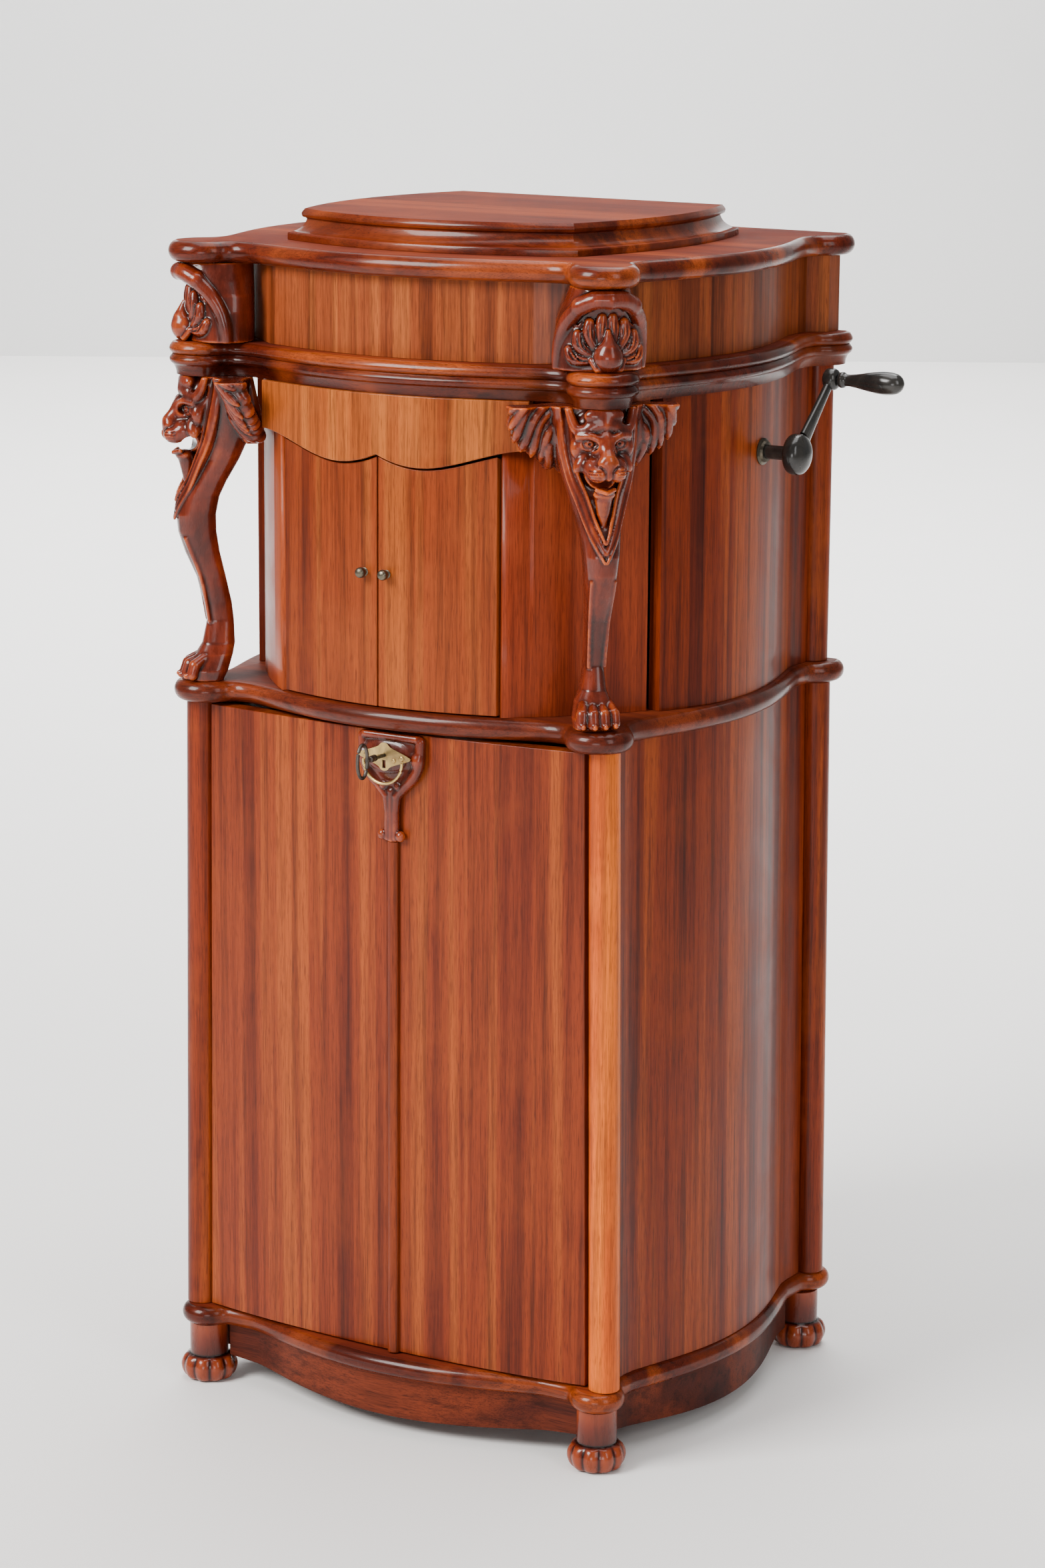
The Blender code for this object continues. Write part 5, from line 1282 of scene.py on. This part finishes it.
def carve_strips(field):
    """The two raised bands that run from beside the head down to a point on the knee."""
    outer = [(0.036, -0.013, 1.06), (0.0365, -0.009, 1.038), (0.0352, -0.004, 1.013),
             (0.0305, 0.002, 0.988), (0.0235, 0.01, 0.966), (0.0158, 0.0185, 0.942),
             (0.0085, 0.0275, 0.924), (0.0012, 0.0322, 0.9095)]
    inner = [(0.029, -0.005, 1.06), (0.0295, 0.0, 1.036), (0.027, 0.004, 1.011),
             (0.0218, 0.007, 0.989), (0.0152, 0.012, 0.972), (0.0094, 0.019, 0.952),
             (0.0045, 0.027, 0.938), (0.0008, 0.0308, 0.928)]
    middle = [tuple((a + b) / 2 for a, b in zip(p, q)) for p, q in zip(outer, inner)]
    for line, radius, deep in ((middle, 0.0062, 0.003), (outer, 0.0026, 0.0), (inner, 0.0024, 0.0)):
        lowered = [(w, d - deep, z) for w, d, z in line]
        for side in both(lowered):
            points = smooth_profile(side, 5)
            radii = [radius * (1 - 0.45 * (i / (len(points) - 1)) ** 2) for i in range(len(points))]
            field.rod(points, radii, 0.0012)
    gully = [(w, d + 0.0058, z) for w, d, z in middle]
    for side in both(gully[:-1]):
        points = smooth_profile(side, 5)
        field.rod(points, [0.004 * (1 - 0.5 * i / len(points)) for i in range(len(points))], 0.0012, True)


def carve_head(field):
    """Brow roll, eyes, nose, whiskered muzzle, open mouth and beard."""
    c = FACE_W
    field.ball((c, 0.0, 1.023), (0.03, 0.0215, 0.033), 0.004)
    field.ball((c, 0.01, 0.998), (0.018, 0.017, 0.022), 0.004)
    field.ball((c, 0.018, 1.018), (0.013, 0.016, 0.018), 0.004)
    field.ball((c, 0.028, 1.002), (0.0115, 0.013, 0.01), 0.004)
    roll = [(0.0, 0.0185, 1.039), (0.009, 0.018, 1.037), (0.018, 0.0155, 1.033), (0.0255, 0.0115, 1.035),
            (0.03, 0.006, 1.048), (0.0325, 0.002, 1.062)]
    for side in both(roll):
        path = smooth_profile(side, 4)
        field.rod(path, swelling(path, (0, 0.3, 0.6, 1), (0.0088, 0.007, 0.0052, 0.003)), 0.0018)
    field.ball((c, 0.018, 1.047), (0.019, 0.0085, 0.01), 0.0035)
    for side in both([(0.015, 0.012, 1.066), (0.0235, 0.011, 1.057), (0.028, 0.008, 1.066)]):
        field.rod(smooth_profile(side, 4), [0.0017] * 9, 0.001)
    field.rod([(c, 0.0215, 1.03), (c, 0.029, 1.019), (c, 0.0355, 1.008)], [0.0045, 0.0055, 0.0078], 0.003)
    field.ball((c, 0.037, 1.004), (0.0102, 0.0062, 0.0078), 0.002)
    field.ball((c, 0.0375, 0.9965), (0.0042, 0.0055, 0.0085), 0.002)
    for side in both([(0.0092, 0.0325, 0.9945), (0.0115, 0.0215, 0.9985)]):
        field.ball(side[0], (0.0092, 0.011, 0.0082), 0.0014)
        field.ball(side[1], (0.0098, 0.013, 0.011), 0.003)
    field.rod([(c, 0.044, 0.9985), (c, 0.0425, 0.99)], [0.0009, 0.0014], 0.001, True)
    for side in both([(0.0058, 0.0425, 0.9995), (0.0085, 0.04, 1.002)]):
        field.rod(side, [0.0016, 0.001], 0.0008, True)
    field.ball((c, 0.033, 0.982), (0.0115, 0.014, 0.0042), 0.0016, True)
    field.rod([(c - 0.03, 0.0185, 0.986), (c + 0.03, 0.0185, 0.986)], [0.0078, 0.0078], 0.0012, True)
    field.ball((c, 0.0215, 0.9735), (0.0105, 0.009, 0.0056), 0.002)
    lip = [(c - 0.0085, 0.0265, 0.9785), (c, 0.0325, 0.976), (c + 0.0085, 0.0265, 0.9785)]
    field.rod(lip, [0.0022] * 3, 0.001)
    crease = [(c - 0.008, 0.028, 0.9712), (c, 0.033, 0.969), (c + 0.008, 0.028, 0.9712)]
    field.rod(crease, [0.0011] * 3, 0.0008, True)
    field.rod([(c, 0.019, 0.969), (c, 0.018, 0.956), (c, 0.019, 0.942)], [0.0084, 0.0062, 0.0024], 0.002)
    for side in both([(0.0022, 0.0322, 0.966), (0.006, 0.0275, 0.964)]):
        for w, d, z in side:
            field.rod([(w, d, z), ((w - c) * 0.25 + c, 0.0255, 0.943)], [0.0011, 0.0006], 0.0008, True)
    for sign in (-1, 1):
        eye = (c + sign * 0.0143, 0.017, 1.0215)
        field.ball((eye[0], 0.0245, eye[2]), (0.0088, 0.007, 0.007), 0.002, True)
        field.ball(eye, (0.0058, 0.0056, 0.0052), 0.0006)
        rim = []
        for i in range(17):
            turn = 2 * math.pi * i / 16
            rim.append((eye[0] + 0.0074 * math.cos(turn), 0.0195 - sign * 0.0018 * math.cos(turn),
                        eye[2] + 0.0058 * math.sin(turn)))
        field.rod(rim, [0.0015] * 17, 0.0008)
        field.ball((eye[0], 0.0228, eye[2] - 0.0004), (0.0016, 0.0026, 0.0016), 0.0004, True)
        brow = [(eye[0] - sign * 0.0095, 0.0275, 1.0245), (eye[0], 0.024, 1.029),
                (eye[0] + sign * 0.0095, 0.0165, 1.028)]
        field.rod(smooth_profile(brow, 4), [0.0036] * 9, 0.0025)
        field.ball((c + sign * 0.0235, 0.011, 1.0165), (0.0068, 0.0068, 0.01), 0.004)
        field.ball((c + sign * 0.0215, 0.015, 1.003), (0.0055, 0.007, 0.011), 0.003, False, sign * 0.5)
        for k in range(4):
            rise = math.radians(-38 + 21 * k)
            whisker = []
            for i in range(7):
                turn = math.radians(-5 + 15 * i)
                whisker.append((c + sign * (0.0092 + 0.0092 * math.cos(rise) * math.sin(turn)),
                                0.0325 + 0.011 * math.cos(rise) * math.cos(turn),
                                0.9945 + 0.0082 * math.sin(rise)))
            field.rod(whisker, [0.0008] * 7, 0.0006, True)


def carve_mane(field):
    """Two fans of pointed locks that sweep outwards, back and down from beside the brow."""
    share = np.linspace(0, 1, 7)
    rising = (1.068, 1.068, 1.067, 1.064, 1.056, 1.044, 1.03)
    falling = (1.047, 1.031, 1.018, 1.009, 1.003, 0.998, 0.99)
    fans = (
        (-1, (0.064, 0.056, 0.049, 0.042, 0.037, 0.035, 0.034),
         (0.086, 0.085, 0.08, 0.072, 0.061, 0.051, 0.043)),
        (1, (0.056, 0.05, 0.045, 0.04, 0.036, 0.0345, 0.0335),
         (0.075, 0.074, 0.07, 0.063, 0.055, 0.047, 0.041)),
    )
    for sign, near, far in fans:
        for i in range(19):
            at = i / 18
            thin = i % 3 != 0
            start = Vector((np.interp(at, share, near), -0.002 - 0.022 * at, np.interp(at, share, rising)))
            tip = Vector((np.interp(at, share, far), -0.016 - 0.026 * at, np.interp(at, share, falling)))
            if thin:
                tip = start.lerp(tip, 0.9)
            bend = (tip - start).cross(Vector((0, 1, 0))) * (0.14 if i % 2 else 0.2)
            swell = start.lerp(tip, 0.4) + bend + Vector((0.0, 0.01 - 0.003 * thin, 0.0))
            turn = start.lerp(tip, 0.78) + bend * 0.4 + Vector((0.0, 0.0065, 0.0))
            path = [(sign * a, b, c) for a, b, c in smooth_profile([start, swell, turn, tip], 4)]
            radii = swelling(path, (0, 0.4, 0.8, 1), (0.0042, 0.0052, 0.004, 0.0012))
            field.rod(path, radii * (0.62 if thin else 1.0), 0.0006)
            if not thin:
                under = [(a * 0.95, b - 0.01, c + 0.002) for a, b, c in path[:-2]]
                field.rod(under, radii[:-2] * 2.1, 0.002)
        for j in range(4):
            line = [(sign * 0.033, -0.014 - 0.008 * j, 1.056), (sign * 0.04, -0.018 - 0.008 * j, 1.028),
                    (sign * 0.037, -0.026 - 0.007 * j, 1.006), (sign * 0.031, -0.038 - 0.003 * j, 0.988)]
            path = smooth_profile(line, 4)
            field.rod(path, swelling(path, (0, 0.4, 1), (0.0045, 0.006, 0.002)), 0.001)


def build_lions():
    top = BODY_MOULD_Z - GAP
    field = Field((-0.094, -0.056, SHELF_TOP - 0.004), (0.084, 0.052, top + 0.005), CARVE_STEP)
    carve_leg(field)
    carve_mane(field)
    carve_head(field)
    carve_strips(field)
    field.value = np.maximum(field.value, field.z - top)
    field.value = np.maximum(field.value, SHELF_TOP + GAP - field.z)
    mesh = field.mesh("lion", corner_place)
    carved_piece("lion_leg_right", mesh)
    carved_piece("lion_leg_left", mesh, True)


def carve_bracket(field):
    """A rolled frame round a hollow of upright flutes, with a teardrop boss at the foot."""
    low = FRIEZE_Z
    high = low + FRIEZE_T
    field.pillar((
        (low, 0.0, 0.0415, -0.05, 0.015), (low + 0.014, 0.0, 0.0415, -0.05, 0.015),
        (low + 0.03, 0.0, 0.0415, -0.05, 0.0115), (low + 0.046, 0.0, 0.04, -0.05, 0.011),
        (low + 0.06, 0.0, 0.035, -0.05, 0.017), (high, 0.0, 0.027, -0.05, 0.02),
    ), 2.2)
    roll = [(0.0, 0.024, high - 0.0095), (0.013, 0.0205, high - 0.01), (0.025, 0.011, high - 0.016)]
    side = [(0.025, 0.011, high - 0.016), (0.0345, -0.002, high - 0.031), (0.0385, -0.011, high - 0.048),
            (0.04, -0.015, low + 0.013), (0.0398, -0.016, low + 0.002)]
    for sign in (-1, 1):
        for end, bend in (((0.005, 0.051), (0.0055, 0.036)), ((0.0165, 0.046), (0.016, 0.032)),
                          ((0.0265, 0.035), (0.0235, 0.022)), ((0.0335, 0.02), (0.027, 0.011))):
            path = []
            for w, z in smooth_profile([(0.005, 0.012), bend, end], 6):
                path.append((sign * w, 0.0315 * (1 - (w / 0.0415) ** 2.2) ** 0.4545 - 0.018, low + z))
            field.rod(path, swelling(path, (0, 0.65, 1), (0.003, 0.0064, 0.0046)), 0.0008)
            for aside in (-0.0022, 0.0022):
                vein = [(a + aside, b + 0.0054, c) for a, b, c in path[3:-1]]
                field.rod(vein, [0.001] * len(vein), 0.0008, True)
    for sign in (-1, 1):
        field.rod([(sign * a, b, c) for a, b, c in smooth_profile(roll, 6)], [0.0086] * 13, 0.002)
        edge = smooth_profile(side, 6)
        line = [(sign * a, b, c) for a, b, c in edge]
        field.rod(line, list(np.linspace(0.008, 0.0052, len(line))), 0.002)
        inner = [(sign * (a - 0.0075), b + 0.004, c - 0.0045) for a, b, c in edge]
        field.rod(inner, [0.0011] * len(inner), 0.0008, True)
    field.ball((0.0, 0.019, low + 0.014), (0.014, 0.014, 0.015), 0.0008)
    field.rod([(0.0, 0.022, low + 0.024), (0.0, 0.02, low + 0.038)], [0.008, 0.002], 0.003)
    field.rod([(-0.015, 0.016, low + 0.011), (-0.011, 0.0215, low + 0.003), (0.011, 0.0215, low + 0.003),
               (0.015, 0.016, low + 0.011)], [0.0032] * 4, 0.001)
    for a in (-0.005, 0.0, 0.005):
        field.rod([(a * 0.4, 0.033, low + 0.027), (a, 0.0342, low + 0.015), (a * 0.8, 0.032, low + 0.005)],
                  [0.0005, 0.0008, 0.0005], 0.0005, True)


def build_brackets():
    high = FRIEZE_Z + FRIEZE_T
    field = Field((-0.052, -0.052, FRIEZE_Z - 0.005), (0.052, 0.04, high + 0.005), CARVE_STEP)
    carve_bracket(field)
    field.value = np.maximum(field.value, np.maximum(field.z - high, FRIEZE_Z - field.z))
    mesh = field.mesh("bracket", corner_place)
    carved_piece("lid_bracket_right", mesh)
    carved_piece("lid_bracket_left", mesh, True)


def build_cartouche():
    """The carved shield: two ribs rising from a foot and curling out into round horns."""
    middle = DOOR_SPLIT_X + CLEAR / 2 + STRIP_W / 2
    back = door_face(0.0) - 2 * GAP
    low = LOCK_Z + 0.022 - CARTOUCHE_H
    high = SHELF_Z - CLEAR - 0.0015
    field = Field((-0.044, -0.003, low - 0.004), (0.044, 0.016, high + 0.004), 0.0009)
    for sign in (-1, 1):
        field.rod([(sign * 0.0045, 0.0035, low + 0.004), (sign * 0.004, 0.0038, low + 0.03),
                   (sign * 0.006, 0.004, low + 0.046)], [0.0042, 0.004, 0.0042], 0.0008)
        arm = [(sign * 0.006, 0.004, low + 0.046), (sign * 0.015, 0.0038, low + 0.056),
               (sign * 0.025, 0.004, low + 0.066), (sign * 0.032, 0.0042, low + 0.08),
               (sign * 0.0335, 0.0042, high - 0.006)]
        points = smooth_profile(arm, 6)
        field.rod(points, swelling(points, (0, 0.5, 1), (0.0042, 0.0056, 0.0048)), 0.0012)
        field.ball((sign * 0.031, 0.0052, low + 0.084), (0.007, 0.0058, 0.0085), 0.0015)
        field.ball((sign * 0.0085, 0.0062, low + 0.056), (0.0034, 0.0036, 0.0034), 0.0006)
        field.ball((sign * 0.0105, 0.0045, low + 0.006), (0.0048, 0.0046, 0.0056), 0.001)
    field.rod([(0.0, 0.003, low + 0.002), (0.0, 0.003, low + 0.05)], [0.0046, 0.0052], 0.001)
    field.pillar(((low + 0.05, 0.0, 0.012, -0.002, 0.0062), (low + 0.066, 0.0, 0.023, -0.002, 0.0066),
                  (low + 0.08, 0.0, 0.03, -0.002, 0.0066), (high, 0.0, 0.032, -0.002, 0.0062)), 6.0)
    field.rod([(-0.03, 0.0052, high - 0.0035), (0.03, 0.0052, high - 0.0035)], [0.0042, 0.0042], 0.0012)
    face = CARTOUCHE_T
    hold = LOCK_Z
    field.ball((-0.0035, 0.006, hold), (0.029, face - 0.006, 0.017), 0.0012)
    field.value = np.maximum(field.value, field.d - face)
    field.value = np.maximum(field.value, -field.d)
    field.value = np.maximum(field.value, np.maximum(field.z - high, low - field.z))
    mesh = field.mesh("cartouche", lambda p: np.stack((middle + p[:, 0], back - p[:, 1], p[:, 2]), 1))
    carved_piece("lock_cartouche", mesh)


# ---------------------------------------------------------------- what stays as the model made it
def finish_model_nodes():
    kept = {
        "back_panel": "plain", "record_shelf": "plain", "sound_horn": "plain", "motor_board": "board",
        "motor_frame": "iron", "winding_gear": "brass", "spring_barrel": "iron", "governor": "brass",
        "turntable": "felt_top", "tonearm": "nickel", "soundbox": "nickel", "brake_lever": "nickel",
        "crank_bush": "bronze", "body_hinge_leaf": "brass", "lid_hinge_leaf": "brass",
    }
    for node, finish in kept.items():
        for slot in frame["nodes"][node].material_slots:
            slot.material = FINISH[finish]


build_stage(build_camera())
build_feet()
build_aprons()
build_boards()
build_lower_body()
build_lower_doors()
build_upper_body()
build_horn_doors()
build_lid()
build_crank()
build_lock()
build_cartouche()
build_brackets()
build_lions()
finish_model_nodes()
